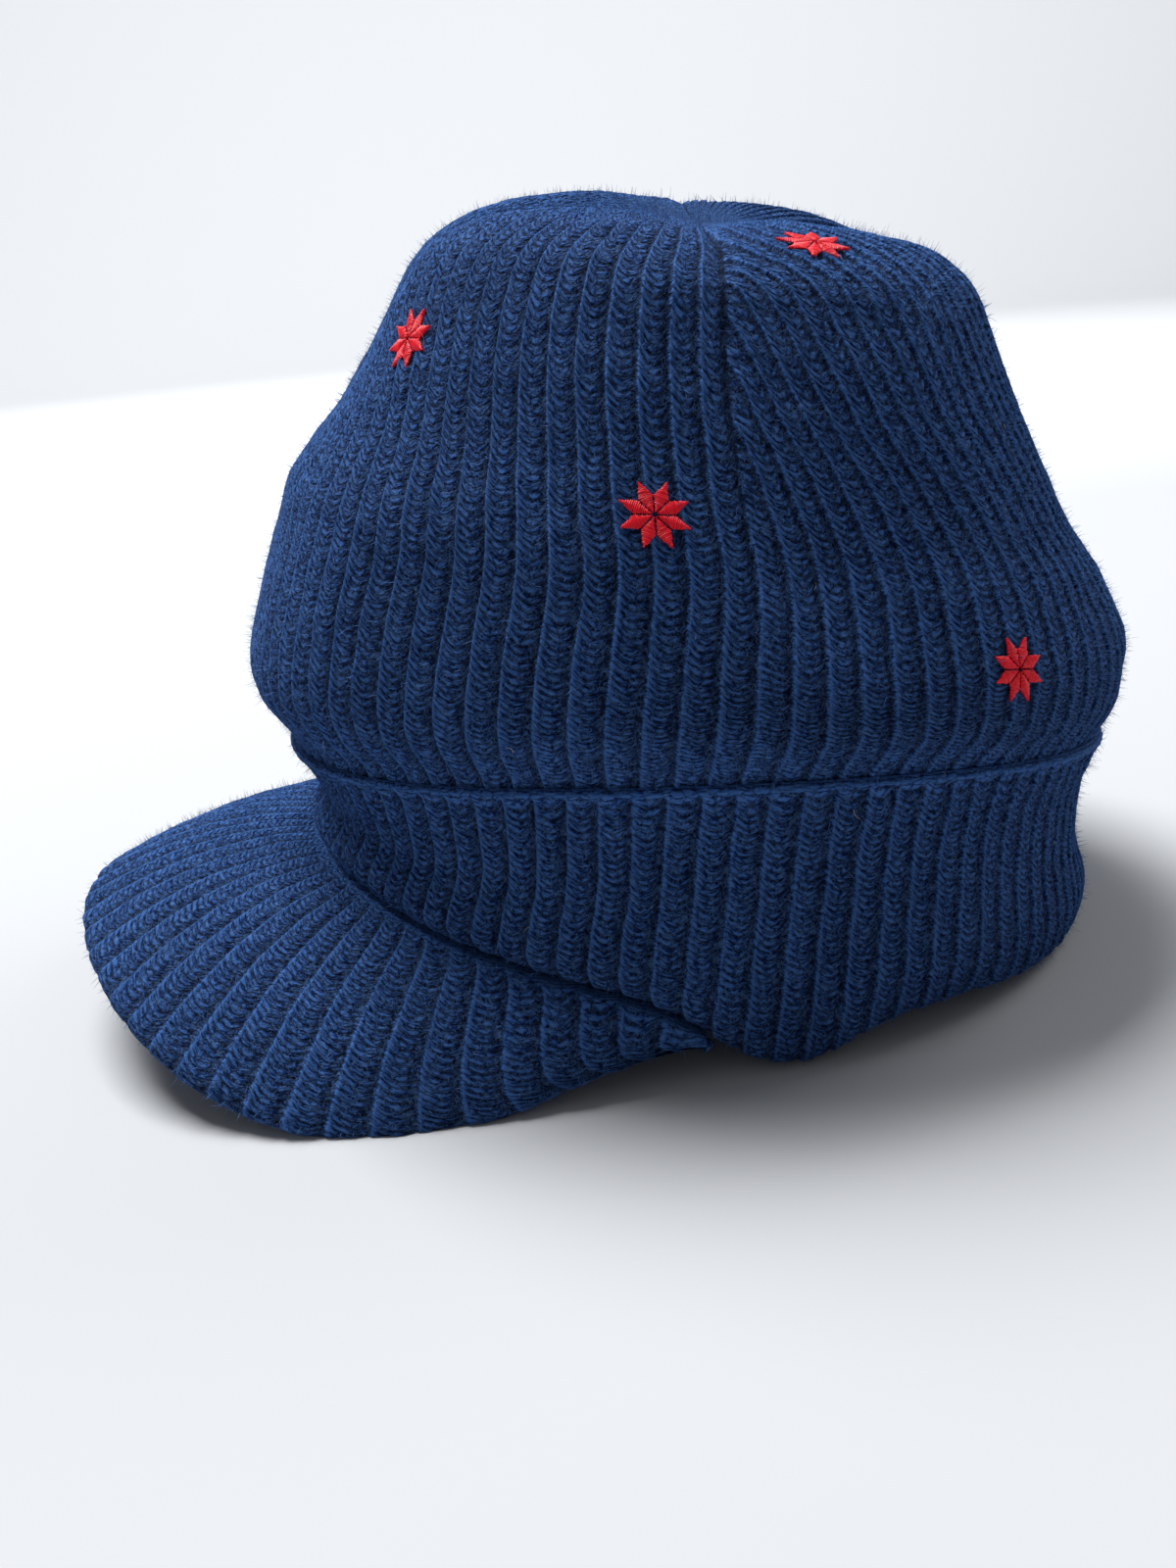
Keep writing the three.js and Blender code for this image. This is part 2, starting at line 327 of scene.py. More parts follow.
@dataclass(frozen=True)
class HatForm:
    """The hat's smooth form in millimetres, before it leans back to its rest."""

    wall: float = 3.0
    gap: float = 0.3
    cuff_top_wave: Wave = Wave(49.4, -6.2, -5.6)
    cuff_rim_wave: Wave = Wave(6.3, 5.4, 2.3)
    dip_angle: float = 91
    dip_reach: float = 12
    dip_depth: float = 12
    nip_fade: float = 30
    dart_count: int = 4
    dart_depth: float = 5.5
    dart_reach: float = 15
    dart_start: float = 96
    dart_full: float = 140
    apex_fade: float = 40
    peak_half_angle: float = 81
    peak_half_width: float = 93.2
    peak_reach: float = 53.5
    peak_front: float = -3.4
    peak_side: float = -25.6
    peak_swell: float = 4.6
    peak_roundness: float = 0.71
    peak_end_taper: float = 2.7
    peak_end_rise: float = 9
    rest_tilt: float = 8.6
    rest_shift: float = 18.609
    rest_lift: float = 9.809

    @property
    def fold_radius(self) -> float:
        """Radius of the cuff's fold, which wraps the crown's edge."""
        return (3 * self.wall + 3 * self.gap) / 2

    @staticmethod
    def waved(wave: Wave, degrees: Array) -> Array:
        """Height of a wave round the head at angles from the front."""
        angle = np.radians(degrees)
        return wave.mean + wave.once * np.cos(angle) + wave.twice * np.cos(2 * angle)

    def cuff_top(self, degrees: Array) -> Array:
        """Height of the cuff's top edge."""
        return self.waved(self.cuff_top_wave, degrees)

    def cuff_rim(self, degrees: Array) -> Array:
        """Height of the cuff's folded rim, with its dips behind the peak's ends.

        Args:
            degrees: Angles from the front.

        Returns:
            Heights of the rim.
        """
        dip = np.maximum(
            bell(turn_between(degrees, self.dip_angle), self.dip_reach),
            bell(turn_between(degrees, -self.dip_angle), self.dip_reach),
        )
        return self.waved(self.cuff_rim_wave, degrees) - self.dip_depth * dip

    def cuff_height(self, degrees: Array) -> Array:
        """Height of the cuff from its folded rim to its top edge."""
        return self.cuff_top(degrees) - self.cuff_rim(degrees)

    @staticmethod
    def cuff_section(level: Array) -> tuple[Array, ...]:
        """Middles and half-widths of the cuff's sections at levels from its fold, 0, to its top edge, 1."""
        position = np.interp(level, [s.at for s in CUFF_SECTIONS], range(len(CUFF_SECTIONS)))
        return tuple(column_at(CUFF_SECTIONS, k, position) for k in (1, 2, 3))

    @staticmethod
    def oval(centre: Array, depth: Array, side: Array, degrees: Array, inset: Array, height: Array) -> Array:
        """Points of oval sections.

        Args:
            centre: Middle of each section along Y.
            depth: Half-width along Y.
            side: Half-width along X.
            degrees: Angles from the front.
            inset: How far each point is drawn in.
            height: Heights.

        Returns:
            Points with a last axis of three.
        """
        angle = np.radians(degrees)
        x = (side - inset) * np.sin(angle)
        y = centre - (depth - inset) * np.cos(angle)
        return np.stack(np.broadcast_arrays(x, y, height), -1)

    def cuff_point(self, degrees: Array, height: Array, inset: Array) -> Array:
        """Points of the cuff's outer face.

        Args:
            degrees: Angles from the front.
            height: Heights over the rim.
            inset: How far each point is drawn in.

        Returns:
            Points with a last axis of three.
        """
        level = height / self.cuff_height(degrees)
        centre, depth, side = self.cuff_section(level)
        return self.oval(centre, depth, side, degrees, inset, self.cuff_rim(degrees) + height)

    @staticmethod
    def upright(degrees: Array, sections: tuple[Array, ...], mean: Triple) -> Array:
        """Angles at which ribs that stand upright on a mean oval meet other ovals.

        Args:
            degrees: Angles of the ribs on the mean oval.
            sections: Centres, depths and sides of the ovals.
            mean: Centre, depth and side of the mean oval.

        Returns:
            Angles on the ovals.
        """
        angle = np.radians(degrees)
        centre, depth, side = sections
        x, y = mean[2] * np.sin(angle), mean[0] - mean[1] * np.cos(angle) - centre
        along_x, along_y = np.sin(angle) / mean[2], -np.cos(angle) / mean[1]
        a = (along_x / side) ** 2 + (along_y / depth) ** 2
        b = x * along_x / side**2 + y * along_y / depth**2
        c = (x / side) ** 2 + (y / depth) ** 2 - 1
        reach = (-b + np.sqrt(np.maximum(b * b - a * c, 0))) / a
        met = np.degrees(np.arctan2((x + reach * along_x) / side, -(y + reach * along_y) / depth))
        return met + 360 * np.round((degrees - met) / 360)

    def crown_hollow(self, degrees: Array, height: Array, depth: Array) -> Array:
        """How far darts and dents draw the crown's face in.

        Args:
            degrees: Angles from the front.
            height: Heights.
            depth: Half-widths of the crown's sections along Y.

        Returns:
            How far each point is drawn in.
        """
        spacing = 360 / self.dart_count
        off = np.abs(degrees - spacing * np.round(degrees / spacing))
        share = ramp(height, self.dart_start, self.dart_full - self.dart_start)
        hollow = self.dart_depth * share * smooth(depth / self.apex_fade) * bell(off, self.dart_reach)
        for dent in DENTS:
            across = bell(turn_between(degrees, dent.angle), dent.reach)
            hollow = hollow + dent.depth * across * bell(height - dent.height, dent.rise)
        return hollow

    def crown_point(self, degrees: Array, position: Array) -> Array:
        """Points of the crown's outer face.

        Args:
            degrees: Angles from the front.
            position: Row positions of the sections.

        Returns:
            Points with a last axis of three.
        """
        height, centre, depth, side = (column_at(CROWN_SECTIONS, k, position) for k in (0, 1, 2, 3))
        rise = self.cuff_top(degrees) - self.cuff_top_wave.mean
        fade = 1 - ramp(height, self.cuff_top_wave.mean, self.nip_fade)
        hollow = self.crown_hollow(degrees, height, depth) * smooth(depth / self.apex_fade)
        return self.oval(centre, depth, side, degrees, hollow, height + rise * fade)

    def under_fold(self, degrees: Array, inset: Array) -> Array:
        """Points just under the cuff's fold.

        Args:
            degrees: Angles from the front.
            inset: How far each point is drawn in.

        Returns:
            Points with a last axis of three.
        """
        point = self.cuff_point(degrees, np.full(np.shape(degrees), self.fold_radius), inset)
        point[..., 2] = self.cuff_rim(degrees) - 2 * self.gap
        return point

    def peak_point(self, along: Array, out: Array) -> Array:
        """Points of the peak's upper face.

        Args:
            along: Places from -1 to 1 round the root.
            out: From 0 at the root to 1 at the edge.

        Returns:
            Points with a last axis of three.
        """
        along, out = np.broadcast_arrays(np.asarray(along, float), np.asarray(out, float))
        root = self.under_fold(along * self.peak_half_angle, 0)
        root_end = self.under_fold(np.array(self.peak_half_angle), 0)
        turn = along * math.pi / 2
        blend = np.abs(along) ** self.peak_end_taper
        edge_x = self.peak_half_width * np.sin(turn) * (1 - blend) + np.sign(along) * root_end[0] * blend
        front = self.under_fold(np.array(0.0), 0)[1] - self.peak_reach
        edge_y = root_end[1] + (front - root_end[1]) * np.abs(np.cos(turn)) ** self.peak_roundness
        droop = (np.minimum(np.abs(edge_x), self.peak_half_width) / self.peak_half_width) ** 2
        arch = self.peak_front + (self.peak_side - self.peak_front) * droop
        rise = np.abs(along) ** self.peak_end_rise
        edge = np.stack([edge_x, edge_y, arch * (1 - rise) + (root[..., 2] - 1) * rise], -1)
        point = root * (1 - out[..., None]) + edge * out[..., None]
        point[..., 2] += self.peak_swell * 4 * out * (1 - out) * (1 - blend)
        return point

    def rest(self, points: Array) -> Array:
        """Lean points back to the hat's rest.

        Args:
            points: Points in millimetres.

        Returns:
            Points in metres.
        """
        angle = -math.radians(self.rest_tilt)
        x, y, z = points[..., 0], points[..., 1], points[..., 2]
        leant = [x, y * math.cos(angle) - z * math.sin(angle), y * math.sin(angle) + z * math.cos(angle)]
        return np.stack(leant, -1) * MM + np.array([0, self.rest_shift, self.rest_lift]) * MM

    def turned(self, vectors: Array) -> Array:
        """Lean directions back to the hat's rest."""
        return (self.rest(vectors) - self.rest(np.zeros(3))) / MM


# ---- knitted skins
class Side(Enum):
    """Which side of the knit a face shows, as its face attribute holds it."""

    FACE = 0
    BACK = 1
    END = 2


@dataclass(frozen=True)
class Gauge:
    """The knit's gauge: how its ribs and courses are sampled and how a stitch leans across its rib."""

    ribs_round: int = 92
    course: float = 1.55
    samples: tuple[float, ...] = (0.0, 0.05, 0.1, 0.155, 0.25, 0.4, 0.57, 0.73, 0.88)
    coarse_step: int = 3
    lean_places: tuple[float, ...] = (0.0, 0.08, 0.3, 0.48, 0.62, 0.85, 1.0)
    lean_courses: tuple[float, ...] = (0.0, 0.0, 0.85, 1.3, 1.3, 0.85, 0.0)
    level_edge: float = 0.2
    stagger: float = 0.4
    stagger_seed: int = 5

    def ribs(self, count: int) -> Array:
        """Rib coordinates of the columns that sample a number of ribs."""
        return np.append((np.arange(count)[:, None] + np.array(self.samples)[None, :]).ravel(), count)

    def lean(self, rib: Array) -> Array:
        """How many courses a stitch has dropped at a place across its rib.

        Args:
            rib: Rib coordinates.

        Returns:
            Courses, a little different from rib to rib.
        """
        chance = np.random.default_rng(self.stagger_seed).uniform(-1, 1, 4 * self.ribs_round)
        across = rib % 1.0
        inner = smooth(across / self.level_edge) * smooth((1 - across) / self.level_edge)
        stagger = self.stagger * chance[rib.astype(int)] * inner
        return np.interp(across, self.lean_places, self.lean_courses) + stagger


class Column(NamedTuple):
    """Column of a skin's vertices: its row numbers begin at first, between a start and an end vertex."""

    first: int
    start: int
    rows: Array
    end: int

    def line(self) -> Array:
        """All its vertices from start to end."""
        return np.concatenate([[self.start], self.rows, [self.end]])


@dataclass
class Skin:
    """Vertices and faces of a knitted shell, gathered patch by patch."""

    points: list[Array] = field(default_factory=list)
    outs: list[Array] = field(default_factory=list)
    ribs: list[Array] = field(default_factory=list)
    courses: list[Array] = field(default_factory=list)
    lifts: list[Array] = field(default_factory=list)
    quads: list[Array] = field(default_factory=list)
    triangles: list[Array] = field(default_factory=list)
    sides: dict[str, list[int]] = field(default_factory=lambda: {"quads": [], "triangles": []})
    count: int = 0

    def add(self, points: Array, outs: Array, ribs: Array, courses: Array, lifts: Array) -> Array:
        """Add vertices with their outward directions and knit coordinates.

        Args:
            points: Places, in any shape with a last axis of three.
            outs: Outward unit directions.
            ribs: Rib coordinates.
            courses: Course coordinates.
            lifts: Share of the relief that each vertex takes.

        Returns:
            Vertex numbers in the shape of the points.
        """
        shape = points.shape[:-1]
        size = int(np.prod(shape))
        self.points.append(points.reshape(-1, 3))
        self.outs.append(np.broadcast_to(outs, points.shape).reshape(-1, 3))
        for store, value in ((self.ribs, ribs), (self.courses, courses), (self.lifts, lifts)):
            store.append(np.broadcast_to(value, shape).reshape(-1))
        numbers = np.arange(self.count, self.count + size).reshape(shape)
        self.count += size
        return numbers

    def add_kept(self, kept: Array, surface: Surface, steps: Pair, *values: Array) -> Array:
        """Add the kept vertices of a grid that lies on a surface.

        Args:
            kept: Which vertices of the grid are kept.
            surface: Gives points from two coordinates.
            steps: Small steps of the two coordinates, for the outward directions.
            values: Both coordinates, ribs, courses and lifts, in shapes that fill the grid.

        Returns:
            Vertex numbers in the shape of the grid, -1 where none is kept.
        """
        across, down, *knit = (np.broadcast_to(v, kept.shape)[kept] for v in values)
        numbers = np.full(kept.shape, -1)
        numbers[kept] = self.add(surface(across, down), facing(surface, across, down, steps), *knit)
        return numbers

    def add_quads(self, corners: Array, side: Side) -> None:
        """Add four-cornered faces.

        Args:
            corners: Vertex numbers, four to a face.
            side: Which side of the knit the faces show.
        """
        if len(corners):
            self.quads.append(corners.reshape(-1, 4))
            self.sides["quads"].append(side.value)

    def add_triangles(self, corners: Array, side: Side) -> None:
        """Add three-cornered faces, leaving out those with a corner twice.

        Args:
            corners: Vertex numbers, three to a face.
            side: Which side of the knit the faces show.
        """
        corners = np.asarray(corners, int).reshape(-1, 3)
        a, b, c = corners.T
        corners = corners[(a != b) & (b != c) & (c != a)]
        if len(corners):
            self.triangles.append(corners)
            self.sides["triangles"].append(side.value)

    def grid(self, numbers: Array, side: Side) -> None:
        """Join a grid of vertices.

        Args:
            numbers: Vertex numbers, whose first axis runs to the right and second axis runs down.
            side: Which side of the knit the faces show.
        """
        a, b = numbers[:-1, :-1], numbers[1:, :-1]
        c, d = numbers[1:, 1:], numbers[:-1, 1:]
        self.add_quads(np.stack([a, d, c, b], -1), side)

    def bridge(self, upper: Array, lower: Array, side: Side) -> None:
        """Join two open rows of vertices of any lengths that run to the right, one above the other.

        Args:
            upper: Vertex numbers of the upper row.
            lower: Vertex numbers of the lower row.
            side: Which side of the knit the faces show.
        """
        i, j, made = 0, 0, []
        n, m = len(upper) - 1, len(lower) - 1
        while i < n or j < m:
            if j == m or (i < n and (i + 1) * m <= (j + 1) * n):
                made.append((upper[i], lower[j], upper[i + 1]))
                i += 1
            else:
                made.append((upper[i], lower[j], lower[j + 1]))
                j += 1
        self.add_triangles(np.array(made), side)

    def ladder(self, columns: Sequence["Column"], side: Side) -> None:
        """Join neighbouring columns of vertices that run down side by side, row to row where both have it.

        Args:
            columns: The columns from left to right.
            side: Which side of the knit the faces show.
        """
        for left, right in zip(columns[:-1], columns[1:]):
            high = max(left.first, right.first)
            low = min(left.first + len(left.rows), right.first + len(right.rows))
            a, b = (c.rows[high - c.first : low - c.first] for c in (left, right))
            self.add_quads(np.stack([a[:-1], a[1:], b[1:], b[:-1]], -1), side)
            tops = [np.append(c.start, c.rows[: high - c.first + 1]) for c in (left, right)]
            ends = [np.append(c.rows[low - c.first - 1 :], c.end) for c in (left, right)]
            for pair in (tops, ends):
                self.bridge(pair[1], pair[0], side)

    def object(self, name: str, form: HatForm) -> bpy.types.Object:
        """Make the shell an object at rest with its knit coordinates as attributes.

        Args:
            name: The object's name.
            form: The hat's form, which leans the points back.

        Returns:
            The linked object.
        """
        points = form.rest(np.concatenate(self.points))
        corners, totals, sides = [], [], []
        for key, size in (("quads", 4), ("triangles", 3)):
            for block, side in zip(getattr(self, key), self.sides[key]):
                corners.append(block.ravel())
                totals.append(np.full(len(block), size))
                sides.append(np.full(len(block), side))
        corner, total, side_of = (np.concatenate(v).astype(np.int32) for v in (corners, totals, sides))
        mesh = bpy.data.meshes.new(name)
        mesh.vertices.add(len(points))
        mesh.vertices.foreach_set("co", points.astype(np.float32).ravel())
        mesh.loops.add(len(corner))
        mesh.loops.foreach_set("vertex_index", corner)
        mesh.polygons.add(len(total))
        mesh.polygons.foreach_set("loop_start", (np.cumsum(total) - total).astype(np.int32))
        mesh.update(calc_edges=True)
        mesh.polygons.foreach_set("use_smooth", np.ones(len(total), bool))
        edge_of = values_of(mesh.loops, "edge_index", kind=np.int32)
        low, high = np.full(len(mesh.edges), 9), np.zeros(len(mesh.edges), int)
        np.minimum.at(low, edge_of, np.repeat(side_of, total))
        np.maximum.at(high, edge_of, np.repeat(side_of, total))
        add_attribute(mesh, "sharp_edge", low != high, "BOOLEAN", "EDGE")
        add_attribute(mesh, "side", side_of, "INT", "FACE")
        for key, values in (("rib", self.ribs), ("course", self.courses), ("lift", self.lifts)):
            add_attribute(mesh, key, np.concatenate(values))
        add_attribute(mesh, "out", form.turned(np.concatenate(self.outs)), "FLOAT_VECTOR")
        return place_in_scene(name, mesh)


def unit(vectors: Array) -> Array:
    """Vectors scaled to length one."""
    return vectors / np.maximum(np.linalg.norm(vectors, axis=-1, keepdims=True), 1e-9)


def facing(surface: Surface, across: Array, down: Array, steps: Pair) -> Array:
    """Outward directions of a surface whose first coordinate runs right and second runs down.

    Args:
        surface: Gives points from the two coordinates.
        across: First coordinates.
        down: Second coordinates.
        steps: Small steps of the two coordinates.

    Returns:
        Outward unit directions.
    """
    right = surface(across + steps[0], down) - surface(across - steps[0], down)
    below = surface(across, down + steps[1]) - surface(across, down - steps[1])
    return unit(np.cross(below, right))


# ---- relief of the knit
@dataclass(frozen=True)
class KnitRelief:
    """Ribs and stitches that stand out of a skin: a narrow ridge, then stitches that fall to a groove."""

    rib_depth: float = 0.88
    crest: float = 0.66
    stitch_depth: float = 0.22
    unevenness: float = 0.4
    wander: float = 0.5
    drift_size: float = 11.764706
    stitch_chance: float = 0.45
    # How much stitches count, and what plain cloth counts as, in the height that the painted shade and
    # painted light follow.
    stitch_shading: float = 0.1
    plain_tone: float = 0.8
    seed: int = 7
    profile: Curve = (
        (0.0, 0.0), (0.05, 0.46), (0.1, 0.96), (0.155, 0.8), (0.25, 0.6),
        (0.4, 0.54), (0.57, 0.51), (0.73, 0.39), (0.88, 0.06), (1.0, 0.0),
    )
    stitch_share: Curve = (
        (0.0, 0.0), (0.1, 0.15), (0.155, 0.5), (0.25, 1.0), (0.73, 1.0), (0.88, 0.7), (1.0, 0.0),
    )

    def tree(self, material: bpy.types.Material) -> bpy.types.NodeTree:
        """Build the relief's node tree.

        Args:
            material: The knit's material.

        Returns:
            The tree, with inputs for its sizes and seed.
        """
        tree = bpy.data.node_groups.new("knit_relief", "GeometryNodeTree")
        face = tree.interface
        face.new_socket("Geometry", in_out="INPUT", socket_type="NodeSocketGeometry")
        for name, value in (
            ("Rib depth", self.rib_depth * MM),
            ("Crest", self.crest),
            ("Stitch depth", self.stitch_depth * MM),
            ("Unevenness", self.unevenness * MM),
            ("Wander", self.wander * MM),
            ("Seed", float(self.seed)),
        ):
            face.new_socket(name, in_out="INPUT", socket_type="NodeSocketFloat").default_value = value
        face.new_socket("Geometry", in_out="OUTPUT", socket_type="NodeSocketGeometry")
        add = partial(add_node, tree)
        sizes = add("NodeGroupInput").outputs
        named, share_curve = "GeometryNodeInputNamedAttribute", "ShaderNodeFloatCurve"
        rib, course, lift = (add(named, {"data_type": "FLOAT"}, key) for key in ("rib", "course", "lift"))
        across = add(MATH, "FRACT", rib)
        profile, share = add(share_curve, None, Value=across), add(share_curve, None, Value=across)
        set_curve(profile, self.profile)
        set_curve(share, self.stitch_share)
        # Stitches: one wave to a course, each of its own strength.
        wave = add(MATH, "COSINE", add(MATH, "MULTIPLY", course, 2 * math.pi))
        here = add(MATH, "FLOOR", rib), add(MATH, "ROUND", course)
        cell = add("ShaderNodeCombineXYZ", None, *here, sizes["Seed"])
        chance = add("ShaderNodeTexWhiteNoise", {"noise_dimensions": "3D"}, Vector=cell)
        varied = add(MATH, "MULTIPLY_ADD", chance, 2 * self.stitch_chance, 1 - self.stitch_chance)
        stitch = add(MATH, "MULTIPLY", add(MATH, "MULTIPLY", wave, share), varied)
        # Unevenness: the yarn lies a little high or low, and a little to one side.
        drift = add("ShaderNodeTexNoise", {"noise_dimensions": "3D"}, Scale=per(self.drift_size), Detail=2.0)
        uneven = add(MATH, "MULTIPLY", add(MATH, "SUBTRACT", drift, 0.5), 2.0)
        uneven = add(MATH, "MULTIPLY", uneven, sizes["Unevenness"])
        relief = add(MATH, "MULTIPLY_ADD", stitch, sizes["Stitch depth"], uneven)
        ridge = add(MATH, "SUBTRACT", profile, sizes["Crest"])
        height = add(MATH, "MULTIPLY", add(MATH, "MULTIPLY_ADD", ridge, sizes["Rib depth"], relief), lift)
        offset = add(VECTOR_MATH, "SCALE", add(named, {"data_type": "FLOAT_VECTOR"}, "out"), Scale=height)
        aside = add(VECTOR_MATH, "SUBTRACT", drift.outputs[1], MIDDLE)
        reach = add(MATH, "MULTIPLY", add(MATH, "MULTIPLY", lift, 2.0), sizes["Wander"])
        moved = add(VECTOR_MATH, "ADD", offset, add(VECTOR_MATH, "SCALE", aside, Scale=reach))
        placed = add("GeometryNodeSetPosition", None, Geometry=sizes["Geometry"], Offset=moved)
        # How high each spot stands, for the painted shade in the hollows and painted light on the ridges:
        # plain cloth without relief counts as quite high.
        ridges = add(MATH, "MULTIPLY", profile, 1 - self.stitch_shading)
        raised = add(MATH, "MULTIPLY_ADD", stitch, self.stitch_shading, ridges)
        above = add(MATH, "SUBTRACT", raised, self.plain_tone)
        stored = add(
            "GeometryNodeStoreNamedAttribute",
            {"data_type": "FLOAT", "domain": "POINT"},
            Geometry=placed,
            Name="relief",
            Value=add(MATH, "MULTIPLY_ADD", above, lift, self.plain_tone),
        )
        real = add("GeometryNodeRealizeInstances", None, stored)
        add("NodeGroupOutput", None, add("GeometryNodeSetMaterial", None, Geometry=real, Material=material))
        return tree

    def apply(
        self, piece: bpy.types.Object, material: bpy.types.Material, depth: float = 1.0
    ) -> bpy.types.Object:
        """Raise the relief of a piece and keep the result as its plain mesh.

        Args:
            piece: Object with the knit's attributes.
            material: The knit's material.
            depth: Share of the full rib depth.

        Returns:
            The same object with its relief raised and no modifier.
        """
        tree = bpy.data.node_groups.get("knit_relief") or self.tree(material)
        values = {"Seed": float(self.seed), "Rib depth": self.rib_depth * depth * MM}
        return settle_nodes(piece, tree, values, material)


def settle_nodes(
    piece: bpy.types.Object, tree: bpy.types.NodeTree, values: dict, material: bpy.types.Material
) -> bpy.types.Object:
    """Run a geometry node tree on a piece and keep its result as the piece's plain mesh.

    Args:
        piece: Object that the tree works on.
        tree: Geometry node tree.
        values: Input values by the input's name.
        material: Material of the result.

    Returns:
        The same object, with the result as its mesh.
    """
    modifier = piece.modifiers.new("nodes", "NODES")
    modifier.node_group = tree
    sockets = {s.name: s.identifier for s in tree.interface.items_tree if s.in_out == "INPUT"}
    for name, value in values.items():
        modifier[sockets[name]] = value
    graph = bpy.context.evaluated_depsgraph_get()
    made = bpy.data.meshes.new_from_object(piece.evaluated_get(graph), depsgraph=graph)
    piece.modifiers.clear()
    old, piece.data = piece.data, made
    made.name = piece.name
    bpy.data.meshes.remove(old)
    made.materials.clear()
    made.materials.append(material)
    press_flat(made)
    return piece


def press_flat(mesh: bpy.types.Mesh, surface: float = 0.0002) -> None:
    """Press flat what lies under the surface that the hat rests on.

    Args:
        mesh: Mesh to press.
        surface: Height of the surface in metres.
    """
    places = values_of(mesh.vertices, "co", 3)
    places[:, 2] = np.maximum(places[:, 2], surface)
    mesh.vertices.foreach_set("co", places.ravel())
    mesh.update()


# ---- the knitted pieces
def off_seam(degrees: Array) -> Array:
    """Turn from the nearest of the crown's seams."""
    return degrees - GORE_TURN * np.round(degrees / GORE_TURN)


@dataclass
class Crown:
    """The knitted crown, made of gores that meet in seams and gather towards the apex."""

    form: HatForm
    gauge: Gauge = Gauge(course=1.6)
    tall_course: float = 2.15
    tall_from: float = 95
    tall_over: float = 45
    profile_samples: int = 1400
    gather_height: float = 114
    gather_from: float = 75
    ungathered: float = 9
    gather_rate: float = 0.84
    gather_speed: float = 30
    last_share: float = 0.7
    gather_bend: float = 3
    crowding: float = 0.27
    crowding_from: float = 92
    crowding_over: float = 52
    first_seam: float = -4.5
    valley_depth: float = 2.2
    valley_width: float = 12
    valley_from: float = 142
    valley_over: float = 16
    far_valley_fill: float = 0.75
    top_slope: float = 0.06
    far_lobe_rise: float = 3.6
    far_lobe_at: float = 28
    far_lobe_reach: float = 20
    far_over: float = 22
    mean_oval: Triple = (-2.6, 99.0, 92.0)
    upright_to: float = 84
    upright_over: float = 40
    nip_sink: float = -1.3
    nip_fade: float = 3
    apex_fade: float = 6
    seam_pinch: float = 0.9
    seam_reach: float = 2.0
    seam_ridge: float = 0.2
    seam_ridge_at: float = 5
    seam_from: float = 112
    seam_over: float = 12
    seam_apex: float = 14
    facing_steps: Pair = (0.4, -0.02)
    flat_apex: float = 6
    apex_over: float = 32
    foot_levels: tuple[float, ...] = (0, 0.33, 0.67, 1)
    foot_end: float = 1.35
    foot_course: float = 9.0
    first_lean: float = 3
    apex_gap: float = 0.8
    last_rib: float = 0.04
    inner_step: int = 4

    def __post_init__(self) -> None:
        """Lay the courses out along the crown's profile."""
        fine = np.linspace(0, len(CROWN_SECTIONS) - 1, self.profile_samples)
        line = self.form.crown_point(np.full(fine.shape, GORE_TURN / 2), fine)
        step = np.linalg.norm(np.diff(line, axis=0), axis=1)
        middle = (line[1:, 2] + line[:-1, 2]) / 2
        ease = ramp(middle, self.tall_from, self.tall_over)
        pitch = self.gauge.course + (self.tall_course - self.gauge.course) * ease
        self.places = fine
        self.course_of_place = np.append(0, np.cumsum(step / pitch))
        self.courses = float(self.course_of_place[-1])
        depth, side = (column_at(CROWN_SECTIONS, k, fine) for k in (2, 3))
        self.radius_of_place = (depth + side) / 2
        rows = [s.at for s in CROWN_SECTIONS]
        gathered = np.interp(rows.index(self.gather_height), fine, self.radius_of_place)
        ratio = self.radius_of_place / gathered
        ratio[fine < rows.index(self.gather_from)] = self.ungathered
        # The smaller of the ratio and 1, but no less than the last share, with both corners rounded off.
        speed = self.gather_speed
        gathering = 1 - self.gather_rate * np.logaddexp(0, (1 - ratio) * speed) / speed
        self.share_of_place = self.last_share + np.logaddexp(0, (gathering - self.last_share) * speed) / speed

    def place(self, course: Array) -> Array:
        """Row position of the crown's sections at a course."""
        return np.interp(course, self.course_of_place, self.places)

    def share(self, course: Array) -> Array:
        """Share of a gore's ribs that are left at a course."""
        return np.interp(course, self.course_of_place, self.share_of_place)

    def spread(self, left_out: Array, course: Array) -> Array:
        """Place ribs across a gore: evenly low down, then bent towards the seam where they end.

        Args:
            left_out: Shares of the gore's ribs between each rib and the far seam.
            course: Courses.

        Returns:
            Shares of the gore's width between each rib and the far seam.
        """
        share = self.share(course)
        height = column_at(CROWN_SECTIONS, 0, self.place(course))
        crowding = self.crowding * ramp(height, self.crowding_from, self.crowding_over)
        room = 1 - share * (1 + crowding * (1 - share))
        bent = room * np.minimum(left_out / share, 1) ** self.gather_bend
        return left_out * (1 + crowding * (1 - left_out)) + bent

    def turned(self, degrees: Array, place: Array) -> Array:
        """Angles of the ribs at row positions: upright low down, and drawn together above.

        Args:
            degrees: Angles of the ribs at the nip.
            place: Row positions of the crown's sections.

        Returns:
            Angles from the front.
        """
        height, *section = (column_at(CROWN_SECTIONS, k, place) for k in (0, 1, 2, 3))
        section[1], section[2] = np.maximum(section[1], 1), np.maximum(section[2], 1)
        upright = self.form.upright(degrees, tuple(section), self.mean_oval)
        fade = 1 - ramp(height, self.upright_to, self.upright_over)
        return degrees + (upright - degrees) * fade + self.first_seam

